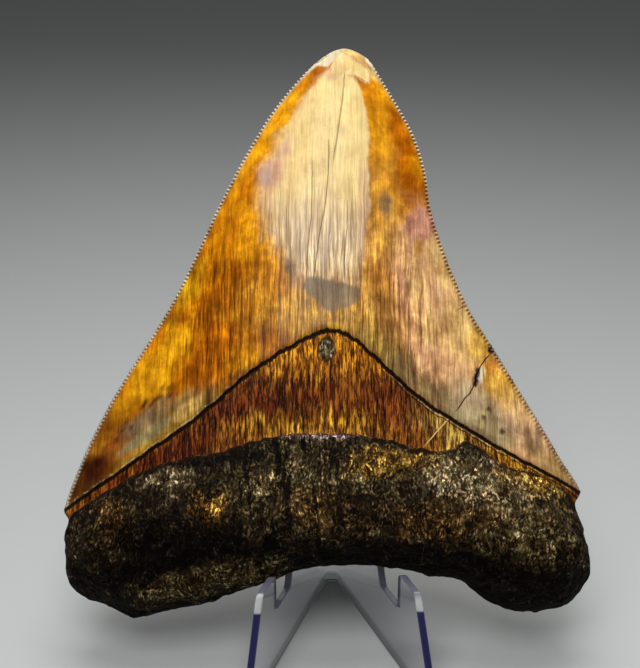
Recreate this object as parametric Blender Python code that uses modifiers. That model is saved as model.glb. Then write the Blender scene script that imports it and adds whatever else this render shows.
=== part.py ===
"""A fossil megalodon tooth leaning on a small clear acrylic easel.

Metres, +Z up. The tooth shows its bulging inner face to -Y and leans back against the easel.
The origin is on the ground, at the middle of the object's footprint.
"""
import math

import bmesh
import bpy
from mathutils import Matrix, Vector, noise

MM = 0.001

# --- Driving dimensions -----------------------------------------------------------------------
TOOTH_WIDTH = 116 * MM          # across the two root lobes
TOOTH_HEIGHT = 126 * MM         # from the lowest lobe to the tip, along the tooth's own axis
ROOT_DEPTH = 19 * MM            # how far the root bulges forward of the cutting edges' plane
BACK_DEPTH = 6.0 * MM           # how far the flat back stands behind that plane
LEAN = math.radians(22)         # the tooth and the easel's back edges lean back by this much

SHEET = 1.5 * MM                # acrylic thickness
WING_ANGLE = math.radians(17.8)  # each wing opens this far from straight ahead
SPINE_WIDTH = 3.6 * MM
SPINE_HEIGHT = 70 * MM
FOOT_REACH = 57.5 * MM          # from the spine to the front of the feet
NOTCH_REACH = 28.1 * MM         # from the spine to the back of the notch
LEDGE_HEIGHT = 14.1 * MM        # floor of the notch
LEDGE_DEPTH = 10 * MM           # from the finger to the back edge
FINGER_HEIGHT = 22.9 * MM
FINGER_DEPTH = 9 * MM
STAND_TURN = math.radians(1.6)  # the easel sits turned a little under the tooth

TOE_RADIUS = 1.0 * MM
FINGER_RADIUS = 1.5 * MM
NOTCH_RADIUS = 1.0 * MM
FOLD_RADIUS = 1.6 * MM
EDGE_SOFTENING = 0.2 * MM
OVERSHOOT = 2 * SHEET           # the uncut wall runs this far past the side outline
ARC_STEPS = 4
MERGE = 0.01 * MM

GAP = 0.3 * MM                  # clearance where the tooth rests on the easel
LOBE_DROP = 5.9 * MM            # the lobes hang this far below the back of the notch

# --- The tooth's outline ----------------------------------------------------------------------
# Cutting edges and root sides: (share of the height, share of the width from the axis).
LEFT_EDGE = (
    (0.000, -0.500), (0.085, -0.507), (0.140, -0.512), (0.168, -0.504), (0.184, -0.512),
    (0.268, -0.480), (0.379, -0.421), (0.556, -0.303), (0.748, -0.202), (0.875, -0.123),
    (0.947, -0.061), (0.981, -0.022),
)
RIGHT_EDGE = (
    (0.000, 0.485), (0.110, 0.491), (0.166, 0.475), (0.196, 0.465), (0.218, 0.474),
    (0.274, 0.438), (0.338, 0.397), (0.468, 0.310), (0.554, 0.254), (0.698, 0.194),
    (0.783, 0.178), (0.852, 0.153), (0.943, 0.096), (0.981, 0.069),
)
# Lines that run across the tooth: (share of the way across, share of the height).
ROOT_BASE = (
    (0.00, 0.045), (0.06, 0.020), (0.12, -0.003), (0.17, 0.001), (0.28, 0.025), (0.40, 0.064),
    (0.47, 0.081), (0.53, 0.087), (0.60, 0.082), (0.70, 0.069), (0.76, 0.055), (0.82, 0.022),
    (0.88, 0.005), (0.93, 0.006), (1.00, 0.028),
)
ROOT_TOP = (
    (0.00, 0.168), (0.10, 0.238), (0.18, 0.273), (0.29, 0.294), (0.41, 0.322), (0.60, 0.322),
    (0.71, 0.299), (0.77, 0.297), (0.81, 0.312), (0.87, 0.270), (0.93, 0.252), (1.00, 0.196),
)
GROOVE = (
    (0.00, 0.184), (0.06, 0.232), (0.14, 0.293), (0.22, 0.347), (0.32, 0.424), (0.40, 0.464),
    (0.48, 0.491), (0.54, 0.500), (0.60, 0.486), (0.67, 0.441), (0.74, 0.385), (0.84, 0.321),
    (0.94, 0.258), (1.00, 0.215),
)
LEFT_LOBE_ROUND = 5 * MM        # radius of each lobe's outer lower corner
RIGHT_LOBE_ROUND = 7.5 * MM
TIP_START = 0.981               # share of the height where the tip starts to round over
TIP_DOME = 1.7                  # power of the tip's dome; higher is blunter

# --- The tooth's depth ------------------------------------------------------------------------
# (share of the height, share of the root's depth) down the middle of the crown.
CROWN_FRONT = (
    (0.00, 0.92), (0.16, 0.94), (0.32, 0.86), (0.50, 0.73), (0.64, 0.60), (0.76, 0.47), (0.88, 0.31),
    (0.95, 0.19), (1.00, 0.10),
)
CROWN_BACK = (
    (0.00, 0.96), (0.28, 1.00), (0.50, 0.96), (0.64, 0.82), (0.80, 0.52), (0.95, 0.27), (1.00, 0.20),
)
# (share of the way across, share of the root's depth) along the root.
ROOT_FRONT = (
    (0.00, 0.60), (0.12, 0.68), (0.30, 0.82), (0.50, 1.00), (0.68, 0.86), (0.88, 0.72), (1.00, 0.62),
)
CROWN_FULLNESS = 2.1            # power of the crown's cross-section; higher is fuller
CROWN_EDGE_EASE = 1.05          # above 1 the front thins out before it reaches the cutting edges
BACK_FULLNESS = 3.5             # the same power for the flatter back
ROOT_SIDE_ROUND = 9 * MM        # how far in from the side the root reaches its full depth
ROOT_BASE_ROUND = 15 * MM       # how far up from the base the root's front does
ROOT_BASE_EASE = 1.3            # above 1 the front leaves the base line more gently
ROOT_BACK_ROUND = 5 * MM        # the same for its back
BASE_SETBACK = 3.5 * MM         # the base's lowest line runs this far behind the edges' plane
TIP_ROUND = 4 * MM
SHOULDER = 11 * MM              # how far below its top line the root reaches its full depth
LEDGE_STEP = 1.2 * MM           # the root stands this much proud along its top line
LEDGE_SLOPE = 1.0 * MM
BOURLETTE_STEP = 0.35 * MM      # the bare band under the enamel lies this much lower
BACK_STEP = 0.4 * MM            # on the back the enamel ends at the root's top line, with this step
GROOVE_DEPTH = 0.7 * MM
GROOVE_HALF_WIDTH = 0.7 * MM
ROOT_LUMP = 0.55 * MM           # height of the root's lumps
ROOT_LUMP_SIZE = 9 * MM
SMALL_LUMP = 0.5                # height of the smaller lumps over the larger ones
SMALL_LUMP_SIZE = 1 / 2.3       # and their size

# --- The tooth's mesh -------------------------------------------------------------------------
COLUMNS = 40
COLUMN_EVENNESS = 0.45          # 0 crowds the columns at both edges, 1 spaces them evenly
ROOT_ROWS = 14
BOURLETTE_ROWS = 6
CROWN_ROWS = 24
CROWN_ROW_EASE = 1.25           # above 1 the rows draw closer towards the tip
GROOVE_RIM = 1.6                # rows on both sides of the groove, in half-widths
SHARP_ANGLE = math.radians(50)  # steeper folds than this stay crisp

# --- Surfaces ---------------------------------------------------------------------------------
FOSSIL_COLOUR = (0.45, 0.20, 0.05)
FOSSIL_ROUGHNESS = 0.35
ACRYLIC_COLOUR = (0.95, 0.95, 0.98)
ACRYLIC_ROUGHNESS = 0.03
ACRYLIC_IOR = 1.49


def curve_through(points, x):
    """Height at x of a smooth curve through (x, y) points in rising x."""
    last = len(points) - 1
    i = 0
    while i < last - 1 and x > points[i + 1][0]:
        i += 1

    def slope(k):
        before = points[max(k - 1, 0)]
        after = points[min(k + 1, last)]
        return (after[1] - before[1]) / (after[0] - before[0])

    (x0, y0), (x1, y1) = points[i], points[i + 1]
    span = x1 - x0
    t = min(max((x - x0) / span, 0.0), 1.0)
    rise = t * t * (3 - 2 * t)
    start = slope(i) * span * t * (1 - t) ** 2
    end = slope(i + 1) * span * t * t * (1 - t)
    return y0 + (y1 - y0) * rise + start - end


def smooth_step(x):
    """0 below 0, 1 above 1 and a smooth rise between."""
    x = min(max(x, 0.0), 1.0)
    return x * x * (3 - 2 * x)


def rounding(distance, reach):
    """Quarter ellipse: 0 at the edge, 1 from reach inwards."""
    x = min(max(distance / reach, 0.0), 1.0)
    return math.sqrt(1 - (1 - x) ** 2)


def mix(a, b, t):
    return a + (b - a) * t


def left_edge(height):
    return TOOTH_WIDTH * curve_through(LEFT_EDGE, height / TOOTH_HEIGHT)


def right_edge(height):
    return TOOTH_WIDTH * curve_through(RIGHT_EDGE, height / TOOTH_HEIGHT)


def across(share, height):
    """Distance from the axis, for a share of the way from the left edge to the right one."""
    return mix(left_edge(height), right_edge(height), share)


def base_height(share):
    """The root's lower outline, with the lobes' outer corners rounded off."""
    height = TOOTH_HEIGHT * curve_through(ROOT_BASE, share)
    from_left = share * TOOTH_WIDTH
    from_right = (1 - share) * TOOTH_WIDTH
    height += LEFT_LOBE_ROUND * (1 - rounding(from_left, LEFT_LOBE_ROUND))
    height += RIGHT_LOBE_ROUND * (1 - rounding(from_right, RIGHT_LOBE_ROUND))
    return height


def root_top_height(share):
    return TOOTH_HEIGHT * curve_through(ROOT_TOP, share)


def groove_height(share):
    return TOOTH_HEIGHT * curve_through(GROOVE, share)


def tip_height(share):
    """The tip's outline, a low dome from one cutting edge to the other."""
    dome = 1 - abs(2 * share - 1) ** TIP_DOME
    return TOOTH_HEIGHT * mix(TIP_START, 1.0, dome)


def base_setback(share):
    """How far the lowest line of the root lies behind the cutting edges' plane."""
    return BASE_SETBACK * smooth_step(min(share, 1 - share) * TOOTH_WIDTH / ROOT_SIDE_ROUND)


def root_lumps(share, height):
    """Low, wide lumps of the root's weathered surface."""
    place = Vector((across(share, height), height, 0)) / ROOT_LUMP_SIZE
    small = noise.noise(place / SMALL_LUMP_SIZE)
    return ROOT_LUMP * (noise.noise(place) + SMALL_LUMP * small)


def front_depth(share, height):
    """How far the front surface stands forward of the cutting edges' plane."""
    side = abs(2 * share - 1)
    tip = rounding(tip_height(share) - height, TIP_ROUND)
    lens = (1 - side ** CROWN_FULLNESS) ** CROWN_EDGE_EASE
    crown = ROOT_DEPTH * curve_through(CROWN_FRONT, height / TOOTH_HEIGHT) * lens * tip

    to_side = min(share, 1 - share) * TOOTH_WIDTH
    side_round = rounding(to_side, ROOT_SIDE_ROUND)
    base_round = rounding(height - base_height(share), ROOT_BASE_ROUND) ** ROOT_BASE_EASE
    root = ROOT_DEPTH * curve_through(ROOT_FRONT, share) + root_lumps(share, height)

    below_top = root_top_height(share) - height
    above_top = -below_top
    to_groove = groove_height(share) - height
    shoulder = smooth_step(below_top / SHOULDER)
    ledge = LEDGE_STEP * smooth_step(below_top / LEDGE_SLOPE) * side_round
    bare = smooth_step(above_top / LEDGE_SLOPE) * smooth_step(to_groove / LEDGE_SLOPE)
    groove = math.exp(-(to_groove / GROOVE_HALF_WIDTH) ** 2)
    relief = (BOURLETTE_STEP * bare + GROOVE_DEPTH * groove) * side_round

    depth = mix(crown, root * side_round, shoulder) + ledge * (1 - shoulder) - relief
    return mix(-base_setback(share), max(depth, 0.0), base_round)


def back_depth(share, height):
    """How far the back surface stands behind that plane."""
    side = abs(2 * share - 1)
    tip = rounding(tip_height(share) - height, TIP_ROUND)
    lens = 1 - side ** BACK_FULLNESS
    crown = BACK_DEPTH * curve_through(CROWN_BACK, height / TOOTH_HEIGHT) * lens * tip
    side_round = rounding(min(share, 1 - share) * TOOTH_WIDTH, ROOT_SIDE_ROUND)
    root = (BACK_DEPTH - BACK_STEP) * side_round
    below_top = root_top_height(share) - height
    crown -= BACK_STEP * smooth_step(below_top / LEDGE_SLOPE) * side_round
    base_round = rounding(height - base_height(share), ROOT_BACK_ROUND)
    return mix(base_setback(share), mix(crown, root, smooth_step(below_top / SHOULDER)), base_round)


def column_shares():
    """Shares of the way across, closer together towards both edges."""
    shares = []
    for i in range(COLUMNS + 1):
        t = i / COLUMNS
        shares.append(mix((1 - math.cos(math.pi * t)) / 2, t, COLUMN_EVENNESS))
    return shares


def eased_steps(start, end, rows, ease):
    """Heights from start to end in a number of rows, both ends included."""
    return [mix(start, end, ease(j / rows)) for j in range(rows + 1)]


def column_heights(share):
    """Heights of the rows in one column. Rows follow the base, the root's top line and the groove."""
    rim = GROOVE_RIM * GROOVE_HALF_WIDTH
    root_top = root_top_height(share)
    groove = groove_height(share)
    heights = eased_steps(
        base_height(share), root_top - LEDGE_SLOPE, ROOT_ROWS, lambda t: 1 - math.cos(math.pi / 2 * t)
    )
    heights += eased_steps(root_top, groove - rim, BOURLETTE_ROWS, lambda t: t)
    heights.append(groove)
    heights += eased_steps(
        groove + rim, tip_height(share), CROWN_ROWS, lambda t: 1 - (1 - t) ** CROWN_ROW_EASE
    )
    return heights


def column_points(share, on_side):
    """One column's front points and back points, base first. They are the same on the outline."""
    heights = column_heights(share)
    front = []
    back = []
    for j, height in enumerate(heights):
        x = across(share, height)
        if j == 0:
            front.append((x, base_setback(share), height))
            back.append(front[-1])
        elif on_side or j == len(heights) - 1:
            front.append((x, 0, height))
            back.append(front[-1])
        else:
            front.append((x, -front_depth(share, height), height))
            back.append((x, back_depth(share, height), height))
    return front, back


def build_tooth():
    """Loft the tooth from its columns: a front and a back surface that share the outline."""
    shares = column_shares()
    columns = [column_points(share, share in (shares[0], shares[-1])) for share in shares]
    loft = bmesh.new()
    shared = {}

    def corner(point):
        if point not in shared:
            shared[point] = loft.verts.new(point)
        return shared[point]

    for (front, back), (next_front, next_back) in zip(columns, columns[1:]):
        for j in range(len(front) - 1):
            quad = (front[j], next_front[j], next_front[j + 1], front[j + 1])
            loft.faces.new([corner(point) for point in quad])
            quad = (back[j + 1], next_back[j + 1], next_back[j], back[j])
            loft.faces.new([corner(point) for point in quad])

    mesh = bpy.data.meshes.new("tooth")
    loft.to_mesh(mesh)
    loft.free()
    mesh.shade_smooth()
    mesh.set_sharp_from_angle(angle=SHARP_ANGLE)
    return bpy.data.objects.new("tooth", mesh)


def filleted(corners):
    """Outline points for corners given as (x, y, radius), each rounded with an arc."""
    points = []
    for i, (x, y, radius) in enumerate(corners):
        here = Vector((x, y))
        before = (Vector(corners[i - 1][:2]) - here).normalized()
        after = (Vector(corners[(i + 1) % len(corners)][:2]) - here).normalized()
        if radius == 0:
            points.append(here)
            continue
        half = before.angle(after) / 2
        centre = here + (before + after).normalized() * radius / math.sin(half)
        start = here + before * radius / math.tan(half) - centre
        end = here + after * radius / math.tan(half) - centre
        sweep = start.angle_signed(end)
        for k in range(ARC_STEPS + 1):
            turned = Matrix.Rotation(-sweep * k / ARC_STEPS, 2) @ start
            points.append(centre + turned)
    return points


def sheet_path():
    """Plan of the folded sheet's middle: left wing, spine, right wing."""
    half = SPINE_WIDTH / 2
    reach = FOOT_REACH + OVERSHOOT
    spread = reach * math.tan(WING_ANGLE)
    corners = [(-half - spread, -reach, 0), (-half, 0, FOLD_RADIUS), (half, 0, FOLD_RADIUS)]
    corners.append((half + spread, -reach, 0))
    return filleted(corners)


def side_outline():
    """The wing seen from the side: (forward of the spine, height)."""
    behind = -OVERSHOOT
    finger_back = NOTCH_REACH + LEDGE_DEPTH
    finger_front = finger_back + FINGER_DEPTH
    top_front = NOTCH_REACH - (SPINE_HEIGHT - LEDGE_HEIGHT) * math.tan(LEAN)
    return filleted([
        (behind, 0, 0),
        (FOOT_REACH, 0, TOE_RADIUS),
        (finger_front, FINGER_HEIGHT, FINGER_RADIUS),
        (finger_back, FINGER_HEIGHT, FINGER_RADIUS),
        (finger_back, LEDGE_HEIGHT, NOTCH_RADIUS),
        (NOTCH_REACH, LEDGE_HEIGHT, NOTCH_RADIUS),
        (top_front, SPINE_HEIGHT, FINGER_RADIUS),
        (behind, SPINE_HEIGHT, 0),
    ])


def build_side_cutter():
    """A prism of the wing's side outline, as wide as the easel."""
    curve = bpy.data.curves.new("side_outline", "CURVE")
    curve.dimensions = "2D"
    curve.fill_mode = "BOTH"
    curve.extrude = FOOT_REACH
    points = side_outline()
    spline = curve.splines.new("POLY")
    spline.points.add(len(points) - 1)
    for point, place in zip(spline.points, points):
        point.co = (place.x, place.y, 0, 1)
    spline.use_cyclic_u = True
    outline = bpy.data.objects.new("side_outline", curve)
    bpy.context.scene.collection.objects.link(outline)
    outline.matrix_world = Matrix.Rotation(-math.pi / 2, 4, "Z") @ Matrix.Rotation(math.pi / 2, 4, "X")
    bpy.context.view_layer.update()

    evaluated = outline.evaluated_get(bpy.context.evaluated_depsgraph_get())
    mesh = bpy.data.meshes.new_from_object(evaluated)
    welded = bmesh.new()
    welded.from_mesh(mesh)
    bmesh.ops.remove_doubles(welded, verts=welded.verts, dist=MERGE)
    bmesh.ops.recalc_face_normals(welded, faces=welded.faces)
    welded.to_mesh(mesh)
    welded.free()
    cutter = bpy.data.objects.new("side_cutter", mesh)
    cutter.matrix_world = outline.matrix_world
    cutter.hide_render = True
    cutter.display_type = "WIRE"
    bpy.data.objects.remove(outline)
    return cutter


def build_stand(cutter):
    """The easel: a folded wall of acrylic, kept only inside the side outline."""
    wall = bmesh.new()
    below = []
    above = []
    for point in sheet_path():
        below.append(wall.verts.new((point.x, point.y, -OVERSHOOT)))
        above.append(wall.verts.new((point.x, point.y, SPINE_HEIGHT + OVERSHOOT)))
    for i in range(len(below) - 1):
        wall.faces.new((below[i], below[i + 1], above[i + 1], above[i]))
    mesh = bpy.data.meshes.new("stand")
    wall.to_mesh(mesh)
    wall.free()
    stand = bpy.data.objects.new("stand", mesh)

    thicken = stand.modifiers.new("thickness", "SOLIDIFY")
    thicken.thickness = SHEET
    thicken.offset = 0
    thicken.use_even_offset = True
    trim = stand.modifiers.new("side_shape", "BOOLEAN")
    trim.operation = "INTERSECT"
    trim.solver = "EXACT"
    trim.object = cutter
    soften = stand.modifiers.new("soft_edges", "BEVEL")
    soften.width = EDGE_SOFTENING
    soften.segments = 1
    soften.limit_method = "ANGLE"
    soften.angle_limit = SHARP_ANGLE
    return stand


def surface(name, colour, roughness, transmission=0.0, ior=1.5):
    material = bpy.data.materials.new(name)
    material.use_nodes = True
    shader = material.node_tree.nodes["Principled BSDF"]
    shader.inputs["Base Color"].default_value = (*colour, 1)
    shader.inputs["Roughness"].default_value = roughness
    shader.inputs["Metallic"].default_value = 0
    shader.inputs["Transmission Weight"].default_value = transmission
    shader.inputs["IOR"].default_value = ior
    return material


def box_of(objects):
    """Lowest and highest corner of the objects' evaluated meshes."""
    bpy.context.view_layer.update()
    graph = bpy.context.evaluated_depsgraph_get()
    corners = []
    for item in objects:
        evaluated = item.evaluated_get(graph)
        corners += [evaluated.matrix_world @ vertex.co for vertex in evaluated.data.vertices]
    low = Vector([min(corner[axis] for corner in corners) for axis in range(3)])
    high = Vector([max(corner[axis] for corner in corners) for axis in range(3)])
    return low, high


def seat_on_stand():
    """Where the tooth's axis meets the height of its lobes, measured from the foot of the spine."""
    up = Vector((0, math.sin(LEAN), math.cos(LEAN)))
    forward = Vector((0, -math.cos(LEAN), math.sin(LEAN)))
    corner = Vector((0, -NOTCH_REACH, LEDGE_HEIGHT))
    return corner + forward * (BACK_DEPTH + GAP) - up * LOBE_DROP


def main():
    for item in list(bpy.data.objects):
        bpy.data.objects.remove(item)
    parts = bpy.data.collections.new("megalodon_tooth")
    cutters = bpy.data.collections.new("cutters")
    for group in (parts, cutters):
        bpy.context.scene.collection.children.link(group)

    cutter = build_side_cutter()
    cutters.objects.link(cutter)
    stand = build_stand(cutter)
    tooth = build_tooth()
    for item in (tooth, stand):
        parts.objects.link(item)

    tooth.data.materials.append(surface("fossil", FOSSIL_COLOUR, FOSSIL_ROUGHNESS))
    stand.data.materials.append(
        surface("clear_acrylic", ACRYLIC_COLOUR, ACRYLIC_ROUGHNESS, 1.0, ACRYLIC_IOR)
    )

    origin = bpy.data.objects.new("origin", None)
    parts.objects.link(origin)
    turned = bpy.data.objects.new("stand_turn", None)
    turned.rotation_euler.z = STAND_TURN
    for item, parent in ((tooth, origin), (turned, origin), (stand, turned), (cutter, turned)):
        item.parent = parent
    parts.objects.link(turned)
    tooth.rotation_euler.x = -LEAN
    tooth.location = seat_on_stand()

    low, high = box_of((tooth, stand))
    origin.location = (-(low.x + high.x) / 2, -(low.y + high.y) / 2, -low.z)
    bpy.context.view_layer.update()


main()
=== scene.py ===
"""The looks of a fossil megalodon tooth on its clear acrylic easel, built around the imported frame.

The tooth is shaped in its own frame, in millimetres: u runs across it from its axis, height runs
along it from the lobes to the tip, and depth stands forward of the cutting edges' plane.
"""
import math
from types import SimpleNamespace

import bmesh
import bpy
import numpy as np
from mathutils import Matrix, Vector, noise


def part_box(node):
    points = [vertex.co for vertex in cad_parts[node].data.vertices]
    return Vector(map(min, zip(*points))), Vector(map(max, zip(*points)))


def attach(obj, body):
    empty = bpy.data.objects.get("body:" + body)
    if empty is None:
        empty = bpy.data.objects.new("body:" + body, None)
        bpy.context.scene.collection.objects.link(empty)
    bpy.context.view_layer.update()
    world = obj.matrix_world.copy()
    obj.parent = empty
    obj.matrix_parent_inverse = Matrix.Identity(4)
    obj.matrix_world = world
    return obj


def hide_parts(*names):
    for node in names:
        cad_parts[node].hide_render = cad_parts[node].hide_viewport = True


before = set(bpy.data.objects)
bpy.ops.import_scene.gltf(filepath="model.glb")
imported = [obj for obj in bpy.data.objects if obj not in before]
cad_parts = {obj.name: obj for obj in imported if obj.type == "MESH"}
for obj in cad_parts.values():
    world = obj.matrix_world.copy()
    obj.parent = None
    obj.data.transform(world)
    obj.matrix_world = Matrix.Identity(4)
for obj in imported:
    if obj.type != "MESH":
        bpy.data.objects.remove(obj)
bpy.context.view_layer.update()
MM = 0.001

# --- The tooth's outline and depth, as the frame has them ---------------------------------------
TOOTH_WIDTH = 116.0
TOOTH_HEIGHT = 126.0
ROOT_DEPTH = 19.0  # how far the root bulges forward of the cutting edges' plane
BACK_DEPTH = 6.0  # how far the flat back stands behind that plane
LEAN = math.radians(22)

# Cutting edges and root sides: (share of the height, share of the width from the axis).
LEFT_EDGE = (
    (0.000, -0.500), (0.085, -0.507), (0.140, -0.512), (0.168, -0.504), (0.184, -0.512),
    (0.268, -0.480), (0.379, -0.421), (0.556, -0.303), (0.748, -0.202), (0.875, -0.123),
    (0.947, -0.061), (0.981, -0.022),
)
RIGHT_EDGE = (
    (0.000, 0.485), (0.110, 0.491), (0.166, 0.475), (0.196, 0.465), (0.218, 0.474),
    (0.274, 0.438), (0.338, 0.397), (0.468, 0.310), (0.554, 0.254), (0.698, 0.194),
    (0.783, 0.178), (0.852, 0.153), (0.943, 0.096), (0.981, 0.069),
)
# Lines that run across the tooth: (share of the way across, share of the height).
ROOT_BASE = (
    (0.00, 0.045), (0.06, 0.020), (0.12, -0.003), (0.17, 0.001), (0.28, 0.025), (0.40, 0.064),
    (0.47, 0.081), (0.53, 0.087), (0.60, 0.082), (0.70, 0.069), (0.76, 0.055), (0.82, 0.022),
    (0.88, 0.005), (0.93, 0.006), (1.00, 0.028),
)
ROOT_TOP = (
    (0.00, 0.168), (0.10, 0.238), (0.18, 0.273), (0.29, 0.294), (0.41, 0.322), (0.60, 0.322),
    (0.71, 0.299), (0.77, 0.297), (0.81, 0.312), (0.87, 0.270), (0.93, 0.252), (1.00, 0.196),
)
GROOVE = (
    (0.00, 0.184), (0.06, 0.232), (0.14, 0.293), (0.22, 0.347), (0.32, 0.424), (0.40, 0.464),
    (0.48, 0.491), (0.54, 0.500), (0.60, 0.486), (0.67, 0.441), (0.74, 0.385), (0.84, 0.321),
    (0.94, 0.258), (1.00, 0.215),
)
LEFT_LOBE_ROUND = 5.0
RIGHT_LOBE_ROUND = 7.5
TIP_START = 0.981
TIP_DOME = 1.7
# (share of the height, share of the root's depth) down the middle of the crown.
CROWN_FRONT = (
    (0.00, 0.92), (0.16, 0.94), (0.32, 0.86), (0.50, 0.73), (0.64, 0.60), (0.76, 0.47), (0.88, 0.31),
    (0.95, 0.19), (1.00, 0.10),
)
CROWN_BACK = (
    (0.00, 0.96), (0.28, 1.00), (0.50, 0.96), (0.64, 0.82), (0.80, 0.52), (0.95, 0.27), (1.00, 0.20),
)
# (share of the way across, share of the root's depth) along the root.
ROOT_FRONT = (
    (0.00, 0.60), (0.12, 0.68), (0.30, 0.82), (0.50, 1.00), (0.68, 0.86), (0.88, 0.72), (1.00, 0.62),
)
CROWN_FULLNESS = 2.1
CROWN_EDGE_EASE = 1.05
BACK_FULLNESS = 3.5
ROOT_SIDE_ROUND = 9.0
ROOT_BASE_ROUND = 15.0
ROOT_BASE_EASE = 1.3
ROOT_BACK_ROUND = 5.0
BASE_SETBACK = 3.5
TIP_ROUND = 4.0
SHOULDER = 11.0
ROOT_LUMP = 0.55
ROOT_LUMP_SIZE = 9.0
SMALL_LUMP = 0.5
SMALL_LUMP_SIZE = 1 / 2.3
FAR = 1e3  # farther than any point of the tooth lies from a line

# --- Relief that only the visual tooth has ------------------------------------------------------
LEDGE_STEP = 1.2  # the root stands this much proud along its top line
LEDGE_SLOPE = 0.6  # and drops to the crown over this distance
BOURLETTE_STEP = 0.35  # the bare band under the enamel lies this much lower
BACK_STEP = 0.4
GROOVE_DEPTH = 0.8
GROOVE_HALF_WIDTH = 0.5
LINE_WOBBLE = 0.45  # how far the groove and the root's top line wander
LINE_WOBBLE_SIZE = 2.2
ROOT_TOP_SEED = 3.3
GROOVE_SEED = 7.7
SERRATION_PITCH = 0.9
SERRATION_DEPTH = 0.6
SERRATION_REACH = 1.5  # how far in from the edge the flutes run out
SERRATION_EASE = 0.8  # below 1 the teeth are rounder and the notches sharper
SERRATION_THINNING = 0.45  # how much of the depth a notch takes away
SERRATION_WEAR_SIZE = 4.0
SERRATION_TOP = 0.975 * TOOTH_HEIGHT
EDGE_STATIONS = 3000

ENAMEL_WAVE = 0.05  # low upright undulation of the enamel
ENAMEL_WAVE_SIZE = 1.6
BOURLETTE_RIB = 0.11  # upright ribs of the bare band
BOURLETTE_RIB_SIZE = 0.75
UPRIGHT_STRETCH = 14.0
ROOT_KNOB = 0.45
ROOT_KNOB_SIZE = 3.4
ROOT_GRIT = 0.30
ROOT_GRIT_SIZE = 1.5
ROOT_PORE = 0.55
ROOT_PORE_SPACING = 2.1
PORE_RADIUS = 0.42  # of the spacing
PORE_PATCH_SIZE = 6.0
SIDE_FADE = 2.0  # the fine relief fades out over this distance from the two sides
BASE_FADE = 3.0  # and over this one from the base
# (size, depth) of the knocks that reach round the root's outline.
ROOT_KNOCKS = ((7.0, 0.8), (2.6, 0.4), (1.2, 0.2))
KNOCK_SEED = 17  # without one, the knocks would differ from run to run
FURROW = 0.8  # upright furrows in the root's middle
FURROW_SIZE = 1.7
PIT_PLACE = (-1.2, 59.0)  # the nutrient hole under the groove's apex
PIT_SIZE = (1.6, 2.4)
PIT_DEPTH = 0.85
PEBBLE = 0.5
PEBBLE_SIZE = 0.8
PEBBLE_SEED = 9.9

# Hairline cracks down the enamel: (height, u) from the bottom up, and half their width.
CRACKS = (
    (((99.0, 0.1), (101.3, 0.4), (104.8, 1.0), (109.7, 1.7), (115.3, 2.4), (120.4, 2.8)), 0.17),
    (((73.1, -4.2), (77.7, -3.6), (84.3, -2.7), (89.4, -1.7), (93.3, -1.2), (99.3, -0.8),
      (105.5, -0.7)), 0.11),
    (((73.1, -5.7), (82.8, -5.1), (87.8, -4.6), (94.6, -4.4), (101.0, -4.4)), 0.09),
    (((73.1, 2.6), (79.7, 2.7), (85.5, 3.2), (92.0, 3.3)), 0.08),
    # From the chip in the right edge down to the groove, and a short one higher up that edge.
    (((44.7, 26.1), (46.6, 27.7), (48.3, 28.8), (49.5, 30.1), (51.9, 31.3), (53.8, 31.9), (55.1, 32.6),
      (56.5, 33.6), (59.0, 35.9)), 0.18),
    (((67.0, 27.1), (67.7, 27.8), (68.3, 28.8), (69.0, 29.6), (69.6, 31.0)), 0.18),
    # A pale scratch that carries the long crack on over the bare band.
    (((37.6, 19.2), (40.2, 21.5), (42.2, 23.4), (45.4, 26.3)), 0.17),
)
CRACK_STATIONS = 60
CRACK_WANDER = 0.12
CRACK_WANDER_SIZE = 1.1
CRACK_TAPER = 2.0  # a crack thins out over this distance from its ends
CRACK_DEPTH = 0.12
CRACK_REACH = 0.3
FAR_RATIO = 60.0  # half-widths from a crack, where its mask no longer matters
FAR_LINE = 9.0  # the same for the groove and the root's top line, in millimetres
GROOVE_STATIONS = 400
# Outlines of the small breaks: (u, height).
EDGE_CHIP = ((34.4, 58.4), (34.9, 60.2), (36.4, 59.8), (38.4, 56.9), (37.7, 56.2), (36.3, 57.7))
EDGE_CHIP_DEPTH = 0.9
CRACK_GAP = ((31.8, 54.8), (32.5, 55.0), (32.1, 53.0), (31.6, 51.0), (30.9, 51.0), (31.3, 53.1))
CRACK_GAP_DEPTH = 0.6
SLIVER = ((32.8, 55.1), (33.4, 54.8), (33.0, 53.1), (32.6, 51.8), (32.2, 51.9), (32.5, 53.4))
TIP_FLAKE = (
    (2.0, 124.9), (4.2, 123.6), (5.3, 123.0), (6.5, 122.3), (7.6, 121.4), (8.1, 120.1), (8.1, 118.3),
    (7.4, 118.2), (6.6, 118.7), (5.7, 119.3), (4.9, 119.9), (4.3, 120.7), (3.5, 120.3), (2.8, 119.6),
    (1.7, 119.6), (0.4, 120.0), (-0.4, 121.4), (0.6, 123.4), (1.2, 124.3),
)
TIP_WEDGE = (
    (-6.0, 122.2), (-3.4, 122.4), (-2.8, 122.0), (-1.5, 121.6), (-0.6, 121.7), (-0.2, 122.3),
    (0.6, 123.3), (1.2, 124.1), (2.0, 124.6), (2.0, 128.0), (-6.0, 128.0),
)
FLAKE_DEPTH = 0.32
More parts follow.
